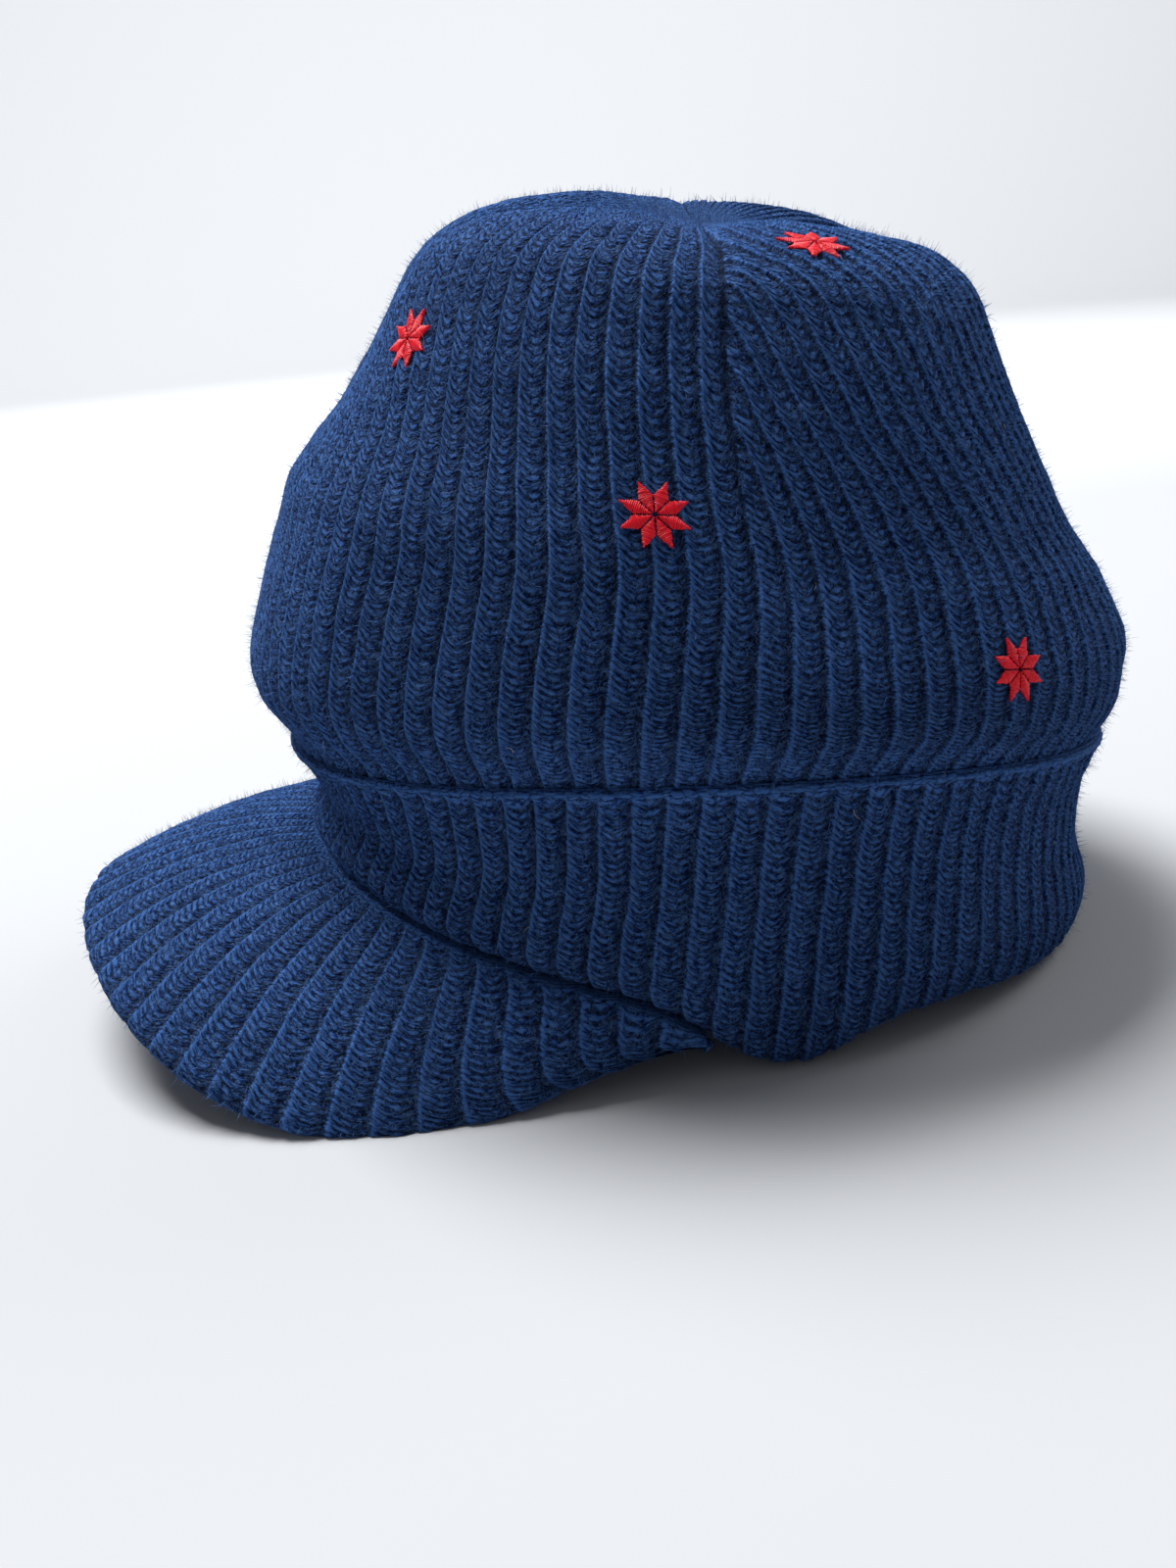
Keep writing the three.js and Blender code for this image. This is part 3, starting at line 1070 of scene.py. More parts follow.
    def bare(self, degrees: Array, place: Array) -> Array:
        """Outer face without its seams.

        Args:
            degrees: Angles of the ribs at the nip.
            place: Row positions of the crown's sections.

        Returns:
            Points with a last axis of three.
        """
        point = self.form.crown_point(self.turned(degrees, place), place)
        radius = np.interp(place, self.places, self.radius_of_place)
        high = ramp(column_at(CROWN_SECTIONS, 0, place), self.valley_from, self.valley_over)
        valley = bell(np.radians(off_seam(degrees)) * radius, self.valley_width)
        behind = smooth(-point[..., 0] / self.far_over)
        far = self.far_lobe_rise * behind * bell(radius - self.far_lobe_at, self.far_lobe_reach)
        sunk = self.valley_depth * valley * (1 - self.far_valley_fill * behind)
        point[..., 2] += (far - self.top_slope * point[..., 0] - sunk) * high
        return point

    def surface(self, degrees: Array, place: Array) -> Array:
        """Outer face with its seams drawn in.

        Args:
            degrees: Angles of the ribs at the nip.
            place: Row positions of the crown's sections.

        Returns:
            Points with a last axis of three.
        """
        point = self.bare(degrees, place)
        radius = np.interp(place, self.places, self.radius_of_place)
        distance = np.radians(off_seam(degrees)) * radius
        reach = ramp(point[..., 2], self.seam_from, self.seam_over) * smooth(radius / self.seam_apex)
        pinch = self.seam_pinch * bell(distance, self.seam_reach)
        ridge = self.seam_ridge * bell(distance + self.seam_ridge_at, self.seam_reach)
        course = np.interp(place, self.places, self.course_of_place)
        sunk = self.nip_sink * (1 - smooth(course / self.nip_fade))
        return point + self.outward(degrees, place) * (reach * (ridge - pinch) - sunk)[..., None]

    def outward(self, degrees: Array, place: Array) -> Array:
        """Outward direction of the outer face."""
        return facing(self.bare, degrees, place, self.facing_steps)

    def lift(self, course: Array) -> Array:
        """Share of the relief, fading at the nip and at the apex.

        Args:
            course: Courses.

        Returns:
            Shares from 0 to 1.
        """
        radius = np.interp(self.place(course), self.places, self.radius_of_place)
        apex = smooth((self.courses - course) / self.apex_fade)
        return smooth(course) * apex * ramp(radius, self.flat_apex, self.apex_over)

    def foot(self, degrees: Array, inset: float) -> Array:
        """Rows of the edge that sits in the cuff's fold, from its top down to its foot.

        Args:
            degrees: Angles from the front.
            inset: How far the rows lie inside the cuff's outer face.

        Returns:
            Points by angle and row.
        """
        form = self.form
        height = form.cuff_height(degrees)
        high, low = height - form.wall / 2, np.full(height.shape, form.fold_radius)
        rows = [form.cuff_point(degrees, high + (low - high) * t, inset) for t in self.foot_levels]
        return np.stack([*rows, rows[-1] - UP * self.foot_end], 1)

    def gore(self, number: int) -> Skin:
        """Knit one gore of the crown as a closed shell.

        Args:
            number: Which gore, from 0 at the front going towards the wearer's left.

        Returns:
            The gore's skin.
        """
        skin, gauge, form = Skin(), self.gauge, self.form
        count = gauge.ribs_round // GORES
        start, end = GORE_TURN * number, GORE_TURN * (number + 1)
        ribs = gauge.ribs(count)
        left_out = count - ribs
        rows = np.arange(int(2 * (self.courses - self.apex_gap)) + 1)
        course = rows / 2.0
        whole = count * self.share(course)
        spare = whole[:, None] - left_out[None, :]
        fade = smooth(course / self.first_lean) * smooth((self.courses - course) / self.apex_fade)
        lean = gauge.lean(ribs)[None, :] * fade[:, None] * smooth(spare)
        actual = np.clip(course[:, None] - lean, 0, self.courses)
        place = self.place(actual)
        angle = end - GORE_TURN * self.spread(left_out[None, :] / count, actual)
        kept = spare > self.last_rib
        kept[:, -1] = True
        seam_place = self.place(course)
        numbers = np.full(spare.shape, -1)
        points, outs = self.surface(angle[kept], place[kept]), self.outward(angle[kept], place[kept])
        rib_of = np.broadcast_to(count * number + ribs, spare.shape)[kept]
        course_of = np.broadcast_to(course[:, None], spare.shape)[kept]
        numbers[kept] = skin.add(points, outs, rib_of, course_of, self.lift(actual[kept]))
        seam_angle = np.full(rows.shape, start)
        seam = skin.add(
            self.surface(seam_angle, seam_place),
            self.outward(seam_angle, seam_place),
            np.full(rows.shape, float(count * number)),
            course,
            self.lift(course),
        )
        first = np.argmax(kept, 1)
        for low, high in zip(rows[:-1], rows[1:]):
            a = first[high]
            upper, lower = numbers[high, a:], numbers[low, a:]
            skin.add_quads(np.stack([upper[:-1], lower[:-1], lower[1:], upper[1:]], -1), Side.FACE)
            lower_end = np.append(seam[low], numbers[low, first[low] : a + 1])
            skin.bridge(np.array([seam[high], numbers[high, a]]), lower_end, Side.FACE)
        tip = self.surface(np.array([GORE_TURN / 2]), np.array([self.places[-1]]))
        apex = skin.add(tip, UP, 0.0, self.courses, 0.0)
        skin.bridge(apex, np.append(seam[-1], numbers[-1, first[-1] :]), Side.FACE)

        coarse = ribs[:: gauge.coarse_step]
        turned = start + (end - start) * coarse / count
        insets = (form.wall + form.gap, 2 * form.wall + form.gap)
        foot_face, foot_back = (self.foot(turned + self.first_seam, inset) for inset in insets)
        foot_rows = foot_face.shape[1]
        inner_rows = np.unique(np.append(rows[:: self.inner_step], rows[-1]))
        inner_place = self.place(inner_rows / 2.0)
        wide, tall = np.meshgrid(turned, inner_place, indexing="ij")
        inner = self.bare(wide, tall) - self.outward(wide, tall) * form.wall
        closing = np.concatenate([foot_face, foot_back[:, ::-1], inner], 1)
        foot_courses = -np.arange(1, foot_rows + 1) * self.foot_course
        closing_course = np.concatenate([foot_courses, foot_courses[::-1], inner_rows / 2.0])
        closing_ribs = (count * number + coarse)[:, None]
        shell = skin.add(closing, UP, closing_ribs, closing_course[None, :], 0.0)
        skin.bridge(np.append(seam[0], numbers[0, 1:]), shell[:, 0], Side.BACK)
        skin.grid(shell, Side.BACK)
        inner_tip = skin.add(tip - UP * form.wall, UP, 0.0, 0.0, 0.0)
        skin.bridge(shell[:, -1], inner_tip, Side.BACK)

        # The gore's two ends are closed from the outer face to the inner one, above and below the nip.
        for column, end_of in ((seam, 0), (numbers[:, -1], -1)):
            line = shell[end_of]
            inner_head, inner_foot = line[2 * foot_rows :][::-1], line[foot_rows : 2 * foot_rows + 1][::-1]
            head = np.append(apex, column[::-1]), np.append(inner_tip, inner_head)
            foot = np.append(column[0], line[:foot_rows]), inner_foot
            for face, back in (head, foot):
                upper, lower = (face, back) if end_of == 0 else (back, face)
                skin.bridge(upper, lower, Side.END)
        return skin


@dataclass
class Cuff:
    """The turned-up cuff, knitted in one with its fold."""

    form: HatForm
    gauge: Gauge = Gauge()
    mean_oval: Triple = (2.2, 97.4, 88.4)
    edge_fade: float = 0.7
    edge_bead: float = 0.55
    bead_at: float = 2.2
    bead_reach: float = 1.0
    edge_sink: float = 0.5
    sink_over: float = 2
    sink_end: float = 3
    sink_fade: float = 6
    fold_end: float = 115
    facing_steps: Pair = (0.4, 0.3)
    lean_rows: float = 8
    end_gap: float = 0.3
    lift_from: float = 0.4
    lift_end: float = 5
    hidden_turns: tuple[float, ...] = (140, 163, 180)
    return_height: float = 2.5
    slot_depth: float = 1.65
    inner_rows: int = 7

    def stretch(self, degrees: Array) -> tuple[Array, Array]:
        """How far from its top edge the cuff folds and ends.

        Args:
            degrees: Angles from the front.

        Returns:
            Distances at which the fold begins and at which the knitted face ends.
        """
        form = self.form
        round_top = math.pi / 4 * form.wall
        height = form.cuff_height(degrees)
        fold = round_top + height - form.wall / 2 - form.fold_radius
        return fold, fold + form.fold_radius * math.radians(self.fold_end)

    def surface(self, degrees: Array, distance: Array) -> Array:
        """Outer face at distances from the middle of its top edge, round the fold and under.

        Args:
            degrees: Angles from the front.
            distance: Distances from the top edge in millimetres; below 0 they run down its inner side.

        Returns:
            Points of the face.
        """
        form = self.form
        degrees, distance = np.broadcast_arrays(np.asarray(degrees, float), np.asarray(distance, float))
        radius = form.wall / 2
        round_top = math.pi / 2 * radius
        height = form.cuff_height(degrees)
        level = np.clip(1 - (distance - round_top) / height, 0, 1)
        degrees = form.upright(degrees, form.cuff_section(level), self.mean_oval)
        fold, _ = self.stretch(degrees)
        height = form.cuff_height(degrees)
        turn = np.clip(distance / radius, -math.pi / 2, math.pi / 2)
        on_top = distance < round_top
        down = np.clip(distance, round_top, fold) - round_top
        rise = np.where(on_top, height - radius + radius * np.cos(turn), height - radius - down)
        bend = np.maximum(distance - fold, 0) / form.fold_radius
        inset = np.where(on_top, radius * (1 - np.sin(turn)), form.fold_radius * (1 - np.cos(bend)))
        bead = self.edge_bead * bell(distance - self.bead_at, self.bead_reach)
        sunk = self.edge_sink * ramp(distance, self.bead_at, self.sink_over)
        bead = bead - sunk * (1 - ramp(distance, self.sink_end, self.sink_fade))
        point = form.cuff_point(degrees, rise, inset - bead)
        point[..., 2] -= form.fold_radius * np.sin(bend)
        return point

    def knit(self) -> Skin:
        """Knit the cuff as a closed shell.

        Returns:
            The skin.
        """
        skin, gauge, form = Skin(), self.gauge, self.form
        ribs = gauge.ribs(gauge.ribs_round)[:-1]
        degrees = ribs * 360 / gauge.ribs_round
        lean = gauge.lean(ribs)
        _, ends = self.stretch(degrees)
        rows = np.arange(int(2 * ends.max() / gauge.course) + 2)
        shift = lean[:, None] * smooth(rows / self.lean_rows)[None, :]
        distance = gauge.course * (rows[None, :] / 2 + shift)
        kept = distance < ends[:, None] - self.end_gap
        lift = smooth((distance - self.bead_at - self.lift_from) / self.edge_fade)
        lift = lift * smooth((ends[:, None] - distance) / self.lift_end)
        values = (ribs[:, None], rows[None, :] / 2.0, lift)
        numbers = skin.add_kept(kept, self.surface, self.facing_steps, degrees[:, None], distance, *values)
        last = skin.add(self.surface(degrees, ends), UP, ribs, ends / gauge.course, 0.0)
        parts = zip(numbers, kept.sum(1), last)
        columns = [Column(1, line[0], line[1:some], end) for line, some, end in parts]
        skin.ladder([*columns, columns[0]], Side.FACE)
        coarse = degrees[:: gauge.coarse_step]
        height = form.cuff_height(coarse)
        fold_level = np.full(coarse.shape, form.fold_radius)
        back_level = fold_level + self.return_height
        rows_in = []
        # Round the hidden half of the fold, up its return and down again, then up behind the outer face.
        for turn in np.radians(self.hidden_turns):
            rows_in.append(form.cuff_point(coarse, fold_level, form.fold_radius * (1 - math.cos(turn))))
            rows_in[-1] -= UP * form.fold_radius * math.sin(turn)
        wide, slot = 2 * form.fold_radius, UP * self.slot_depth
        narrow = wide - form.wall
        for level, inset in ((back_level, wide), (back_level, narrow), (fold_level, narrow)):
            rows_in.append(form.cuff_point(coarse, level, inset))
        rows_in += [rows_in[-1] - slot, form.cuff_point(coarse, fold_level, form.wall) - slot]
        for t in np.linspace(0, 1, self.inner_rows):
            rise = fold_level + (height - form.wall / 2 - fold_level) * t
            rows_in.append(form.cuff_point(coarse, rise, form.wall))
        rows_in.append(self.surface(coarse, np.full(coarse.shape, -math.pi / 8 * form.wall)))
        closing = np.stack(rows_in, 1)
        shell = skin.add(closing, UP, ribs[:: gauge.coarse_step, None], 0.0, 0.0)
        shell = np.concatenate([shell, shell[:1]])
        skin.bridge(np.append(last, last[0]), shell[:, 0], Side.BACK)
        skin.grid(shell, Side.BACK)
        skin.bridge(shell[:, -1], np.append(numbers[:, 0], numbers[0, 0]), Side.BACK)
        return skin


@dataclass
class Peak:
    """The short curved peak, covered in the same knit with its ribs fanning out to its edge."""

    form: HatForm
    gauge: Gauge = Gauge(
        course=1.53,
        lean_places=(0.0, 0.1, 0.3, 0.55, 0.75, 0.92, 1.0),
        lean_courses=(0.0, 0.1, 0.65, 0.9, 0.7, 0.25, 0.0),
    )
    ribs_across: int = 43
    thickness: float = 5.0
    tuck: float = 6.0
    tip_turn: float = 120
    root_fan: Pair = (0.72, 0.28)
    edge_fan: float = 0.12
    fan_speed: float = 0.75
    small_step: float = 0.01
    end_gap: float = 0.5
    lift_over: float = 3
    lift_tuck: float = 1.5
    end_sharpness: float = 22
    facing_steps: Pair = (0.004, -0.25)
    under_rows: int = 9
    under_turns: tuple[float, ...] = (165, 145)
    under_course: float = 4.0

    def fan(self, rib: Array, out: Array) -> Array:
        """Places along the peak of ribs that fan out from root to edge.

        Args:
            rib: Places of the ribs from -1 to 1 across the peak.
            out: From 0 at the root to 1 at the edge.

        Returns:
            Places from -1 to 1 round the root or along the edge.
        """
        root = rib * (self.root_fan[0] + self.root_fan[1] * rib**2)
        edge = np.sin(root * math.pi / 2) * (1 + self.edge_fan * (1 - np.abs(root)) ** 2)
        return root + (edge - root) * np.maximum(out, 0) ** self.fan_speed

    def top(self, rib: Array, out: Array) -> Array:
        """Points of the upper face on a rib."""
        return self.form.peak_point(self.fan(rib, out), out)

    def length(self, rib: Array) -> Array:
        """Distance from root to edge along a rib."""
        zero, one = np.zeros(np.shape(rib)), np.ones(np.shape(rib))
        return np.linalg.norm(self.top(rib, one) - self.top(rib, zero), axis=-1)

    def down(self, rib: Array, out: Array) -> Array:
        """Direction from the upper face to the underside.

        Args:
            rib: Places of the ribs from -1 to 1 across the peak.
            out: From 0 at the root to 1 at the edge.

        Returns:
            Unit directions.
        """
        step = self.small_step
        across = self.top(np.clip(rib + step, -1, 1), out) - self.top(np.clip(rib - step, -1, 1), out)
        outward = self.top(rib, np.minimum(out + step, 1 + step)) - self.top(rib, np.maximum(out - step, 0))
        return unit(np.cross(across, outward))

    def around_tip(self, rib: Array, degrees: Array) -> Array:
        """Points round the tip.

        Args:
            rib: Places of the ribs from -1 to 1 across the peak.
            degrees: Turn round the tip, from 0 on the upper face to 180 on the underside.

        Returns:
            Points with a last axis of three.
        """
        one, half, turn = np.ones(rib.shape), self.thickness / 2, np.radians(degrees)[..., None]
        outward = unit(self.top(rib, one) - self.top(rib, one * 0.9))
        drop = self.down(rib, one) * half * (1 - np.cos(turn))
        return self.top(rib, one) + drop + outward * half * np.sin(turn)

    def surface(self, rib: Array, distance: Array) -> Array:
        """Upper face at distances from the tip's underside, over the tip and in to the tuck.

        Args:
            rib: Places of the ribs from -1 to 1 across the peak.
            distance: Distances in millimetres.

        Returns:
            Points of the face.
        """
        rib, distance = np.broadcast_arrays(np.asarray(rib, float), np.asarray(distance, float))
        tip, length = self.thickness / 2 * math.radians(self.tip_turn), self.length(rib)
        turn = self.tip_turn - np.degrees(np.clip(distance, 0, tip) / (self.thickness / 2))
        rounded = self.around_tip(rib, turn)
        top = self.top(rib, 1 - np.clip((distance - tip) / length, 0, 1))
        angle = self.fan(rib, np.zeros(rib.shape)) * self.form.peak_half_angle
        under = self.form.under_fold(angle, np.maximum(distance - tip - length, 0))
        on_tip, on_top = (distance < tip)[..., None], (distance <= tip + length)[..., None]
        return np.where(on_tip, rounded, np.where(on_top, top, under))

    def knit(self) -> Skin:
        """Knit the peak's cover as a closed shell.

        Returns:
            The skin.
        """
        skin, gauge, form = Skin(), self.gauge, self.form
        ribs = gauge.ribs(self.ribs_across)[::-1]
        place = 2 * ribs / self.ribs_across - 1
        tip, length = self.thickness / 2 * math.radians(self.tip_turn), self.length(place)
        ends = tip + length + self.tuck
        # Courses lie level between root and edge, so both cut across them.
        zero = (ends.max() - tip - length / 2) / gauge.course
        rows = np.arange(int(2 * ends.max() / gauge.course) * 2)
        distance = gauge.course * (rows[None, :] / 2 - zero[:, None] - gauge.lean(ribs)[:, None])
        kept = (distance > self.end_gap) & (distance < ends[:, None] - self.end_gap)
        wide = place[:, None]
        lift = ramp(distance, self.end_gap, self.lift_over)
        lift = lift * smooth((ends[:, None] - self.tuck + self.lift_tuck - distance) / self.lift_over)
        lift = lift * smooth((1 - np.abs(wide)) * self.end_sharpness)
        values = (ribs[:, None], rows[None, :] / 2.0, lift)
        numbers = skin.add_kept(kept, self.surface, self.facing_steps, wide, distance, *values)
        start = skin.add(self.surface(place, np.zeros(place.shape)), UP, ribs, 0.0, 0.0)
        last = skin.add(self.surface(place, ends), UP, ribs, 0.0, 0.0)
        first = np.argmax(kept, 1)
        columns = [Column(*c) for c in zip(first, start, [n[k] for n, k in zip(numbers, kept)], last)]
        skin.ladder(columns, Side.FACE)
        coarse = place[:: gauge.coarse_step]
        one = np.ones(coarse.shape)
        rows_in = [form.under_fold(self.fan(coarse, one * 0) * form.peak_half_angle, self.tuck)]
        rows_in[0][..., 2] -= self.thickness
        for out in np.linspace(0, 1, self.under_rows):
            rows_in.append(self.top(coarse, one * out) + self.down(coarse, one * out) * self.thickness)
        rows_in += [self.around_tip(coarse, one * turn) for turn in self.under_turns]
        closing = np.stack(rows_in, 1)
        course_of = -np.arange(closing.shape[1]) * self.under_course
        shell = skin.add(closing, UP, ribs[:: gauge.coarse_step, None], course_of[None, :], 0.0)
        skin.bridge(last, shell[:, 0], Side.BACK)
        skin.grid(shell, Side.BACK)
        skin.bridge(shell[:, -1], start, Side.BACK)
        everything = np.concatenate(skin.points)
        for end_of in (0, -1):
            ring = np.concatenate([columns[end_of].line(), shell[end_of]])
            hub = skin.add(everything[ring].mean(0)[None, :], UP, ribs[end_of], 0.0, 0.0)[0]
            onward, hubs = np.roll(ring, -1), np.full(ring.shape, hub)
            order = (onward, ring, hubs) if end_of == 0 else (ring, onward, hubs)
            skin.add_triangles(np.stack(order, -1), Side.BACK)
        return skin


# ---- finishes
@dataclass(frozen=True)
class LambswoolKnit:
    """Lambswool, spun, dyed navy and knitted: deep matt blue, round strands, paler fibre ends, with painted
    shade in the gaps and painted light on the crests.
    """

    name: str = "navy_lambswool_knit"
    # Colours by the yarn's height: groove is painted shade in the hollows, crest is painted light on the
    # ridges and loops, body is the yarn's own navy between.
    groove: str = "#000820"
    body: str = "#001e4e"
    crest: str = "#3862a4"
    fibre: str = "#5a80ba"
    roughness: float = 0.95
    gloss: float = 0.1
    sheen: float = 0.035
    sheen_tint: str = "#7fa0dc"
    # Millimetres to a rib and to a course.
    pitches: Pair = (6.4, 1.55)
    # Sizes below are in millimetres, heights too. Contrasts and tones are a scale and a shift.
    # Strands: size of the stretches that stray from the line, how round they are, and how deep the holes look
    # in bump and in painted shade.
    stray_size: float = 2.32558
    strand_roundness: float = 2.2
    hole_depth: float = 0.95
    # Loops to a rib across and to a course along, how far they stray, in cells, and how plump they look.
    loops: Pair = (2.6, 1.0)
    loop_stray: float = 0.5
    loop_stray_size: float = 1.92308
    loop_spread: float = 0.85
    loop_plumpness: float = 3.2
    loop_tone: Pair = (0.6, 0.4)
    loop_height: float = 0.85
    loop_share: float = 0.62
    ply_width: float = 0.38
    ply_length: float = 1.2
    ply_slant: float = 0.5
    ply_contrast: Pair = (2.2, -0.6)
    ply_share: float = 0.36
    # Fibre ends, drawn coarser than wool so that they show: sizes of their curls and narrowness of the lines.
    fibre_lines: Curve = ((1.92308, 15.0), (0.952381, 11.0))
    fibre_height: float = 0.07
    fibre_share: float = 0.55
    tuft_size: float = 1.5625
    tuft_contrast: Pair = (2.6, -0.75)
    # Clouds: patches in which the dye took a little lighter or darker.
    cloud_size: float = 22.2222
    cloud_tone: Pair = (0.5, 0.68)
    # How high the yarn stands where it takes the groove's painted shade, the body's own navy and the crest's
    # painted light.
    shading_heights: Triple = (0.37, 0.54, 0.73)
    # How strongly the strands of a course stand out at a place across a rib.
    strand_share: Curve = (
        (0.0, 0.8), (0.06, 0.58), (0.12, 0.52), (0.19, 0.9),
        (0.28, 1.0), (0.8, 1.0), (0.92, 0.9), (1.0, 0.8),
    )

    def material(self) -> bpy.types.Material:
        """Build the material from the knit's own rib and course coordinates.

        Returns:
            The material.
        """
        made, add, shader = new_finish(self.name)
        keys = ("rib", "course", "relief")
        rib, course, relief = (add("ShaderNodeAttribute", {"attribute_name": k}).outputs["Fac"] for k in keys)
        place = add("ShaderNodeTexCoord").outputs["Object"]
        noise = partial(add, "ShaderNodeTexNoise", None, Vector=place)
        across = add(MATH, "FRACT", rib)
        # Strands: each course is a round strand whose edges fall into a narrow gap, sunk in the bump and
        # darkened with painted shade.
        stray = add(MATH, "MULTIPLY_ADD", noise(Scale=per(self.stray_size), Detail=2.0), 1.0, -0.5)
        phase = add(MATH, "FRACT", add(MATH, "ADD", add(MATH, "ADD", course, 0.5), stray))
        off = add(MATH, "ABSOLUTE", add(MATH, "MULTIPLY_ADD", phase, 2.0, -1.0))
        inside = add(MATH, clamped("SUBTRACT"), 1.0, add(MATH, "POWER", off, self.strand_roundness))
        share = add("ShaderNodeFloatCurve", None, Value=across)
        set_curve(share, self.strand_share)
        sunk = add(MATH, "MULTIPLY", add(MATH, "SUBTRACT", 1.0, add(MATH, "SQRT", inside)), share)
        # Loops: a strand shows as short plump tufts, each a little out of line with the next.
        aside = noise(Scale=per(self.loop_stray_size), Detail=2.0).outputs[1]
        aside = add(VECTOR_MATH, "SUBTRACT", aside, MIDDLE)
        aside = add(VECTOR_MATH, "SCALE", aside, Scale=self.loop_stray)
        knit = add("ShaderNodeCombineXYZ", None, rib, course, 0.0)
        edges = add(
            "ShaderNodeTexVoronoi",
            {"voronoi_dimensions": "2D", "feature": "DISTANCE_TO_EDGE"},
            Vector=add(VECTOR_MATH, "MULTIPLY_ADD", knit, (*self.loops, 1.0), aside),
            Scale=1.0,
            Randomness=self.loop_spread,
        ).outputs["Distance"]
        loop = add(MATH, "SQRT", add(MATH, clamped("MULTIPLY"), edges, self.loop_plumpness))
        # Plies: two thin yarns twisted round each other, slanting over each strand.
        ply = (add(MATH, "MULTIPLY", knitted, pitch) for knitted, pitch in zip((rib, course), self.pitches))
        along = add(
            "ShaderNodeMapping",
            None,
            Vector=add("ShaderNodeCombineXYZ", None, *ply, 0.0),
            Rotation=(0.0, 0.0, self.ply_slant),
            Scale=(1 / self.ply_length, 1 / self.ply_width, 1.0),
        )
        grain = add("ShaderNodeTexNoise", None, Vector=along, Scale=1.0, Detail=3.0)
        plies = add(MATH, clamped("MULTIPLY_ADD"), grain, *self.ply_contrast)
        # Fibre ends: thin curled lines, where two noises cross their middle value, in scattered tufts.
        hairs = None
        for size, narrowness in self.fibre_lines:
            curl = noise(Scale=per(size), Detail=1.5, Distortion=1.2)
            edge = add(MATH, "MULTIPLY", add(MATH, "ABSOLUTE", add(MATH, "SUBTRACT", curl, 0.5)), narrowness)
            line = add(MATH, clamped("SUBTRACT"), 1.0, edge)
            hairs = line if hairs is None else add(MATH, "MAXIMUM", hairs, line)
        tuft = noise(Scale=per(self.tuft_size), Detail=2.0)
        hairs = add(MATH, "MULTIPLY", hairs, add(MATH, clamped("MULTIPLY_ADD"), tuft, *self.tuft_contrast))
        # Height of the yarn under the eye, from the bottom of a hole to the top of a loop.
        deep = add(MATH, "SUBTRACT", 1.0, add(MATH, "MULTIPLY", sunk, self.hole_depth))
        rise = add(MATH, "MULTIPLY", add(MATH, "MULTIPLY_ADD", loop, *self.loop_tone), deep)
        rise = add(MATH, "MULTIPLY", rise, 1 - self.ply_share)
        rise = add(MATH, "MULTIPLY_ADD", plies, self.ply_share, rise)
        # The colour follows the height as well: painted shade low in holes and grooves, painted light high on
        # loops and crests.
        ribbed = add(MATH, "MULTIPLY", relief, 1 - self.loop_share)
        shade = add("ShaderNodeValToRGB", None, add(MATH, "MULTIPLY_ADD", rise, self.loop_share, ribbed))
        stops = shade.color_ramp.elements
        stops.new(self.shading_heights[1])
        for stop, tone, colour in zip(stops, self.shading_heights, (self.groove, self.body, self.crest)):
            stop.position, stop.color = tone, srgb(colour)
        hairy = add(MATH, "MULTIPLY", hairs, self.fibre_share)
        fibred = add("ShaderNodeMix", {"data_type": "RGBA"}, hairy, in6=shade, in7=srgb(self.fibre))
        cloud = noise(Scale=per(self.cloud_size), Detail=3.0)
        light = add(MATH, "MULTIPLY_ADD", cloud, *self.cloud_tone)
        toned = add(VECTOR_MATH, "SCALE", fibred.outputs[2], Scale=light)
        stand = add(MATH, "MULTIPLY", hairs, self.fibre_height)
        height = add(MATH, "MULTIPLY_ADD", rise, self.loop_height, stand)
        connect(
            shader,
            Base_Color=toned,
            Roughness=self.roughness,
            Normal=add("ShaderNodeBump", None, Strength=1.0, Distance=MM, Height=height),
            Sheen_Weight=self.sheen,
            Sheen_Roughness=0.5,
            Sheen_Tint=srgb(self.sheen_tint),
            Specular_IOR_Level=self.gloss,
        )
        return made


@dataclass(frozen=True)
class SatinThread:
    """Red rayon embroidery thread, laid side by side: bright, with a soft gloss along each stitch."""

    name: str = "red_rayon_thread"
    colour: str = "#fb0a2c"
    shade: str = "#d2041c"
    roughness: float = 0.42
    gloss: float = 0.35
    filament: float = 0.09
    cell_filaments: float = 4
    relief: float = 0.05

    def material(self) -> bpy.types.Material:
        """Build the material.

        Returns:
            The material.
        """
        made, add, shader = new_finish(self.name)
        # Filaments are a tenth of a millimetre across: they are drawn four to a cell, so that they show.
        place = add("ShaderNodeTexCoord").outputs["Object"]
        scale = per(self.filament * self.cell_filaments)
        grain = add("ShaderNodeTexNoise", None, Vector=place, Scale=scale, Detail=2.0)
        mix = add("ShaderNodeMix", {"data_type": "RGBA"}, grain, in6=srgb(self.shade), in7=srgb(self.colour))
        bump = add("ShaderNodeBump", None, Distance=self.relief * MM, Height=grain)
        connect(shader, Base_Color=mix.outputs[2], Roughness=self.roughness, Normal=bump)
        connect(shader, Specular_IOR_Level=self.gloss)
        return made


# Hairs are lighter and darker in patches this many millimetres across, by a scale and a shift of a noise.
HAIR_PATCH = 3.33333
HAIR_TONE = (1.2, 0.4)
HAIR_GLOSS = 0.15


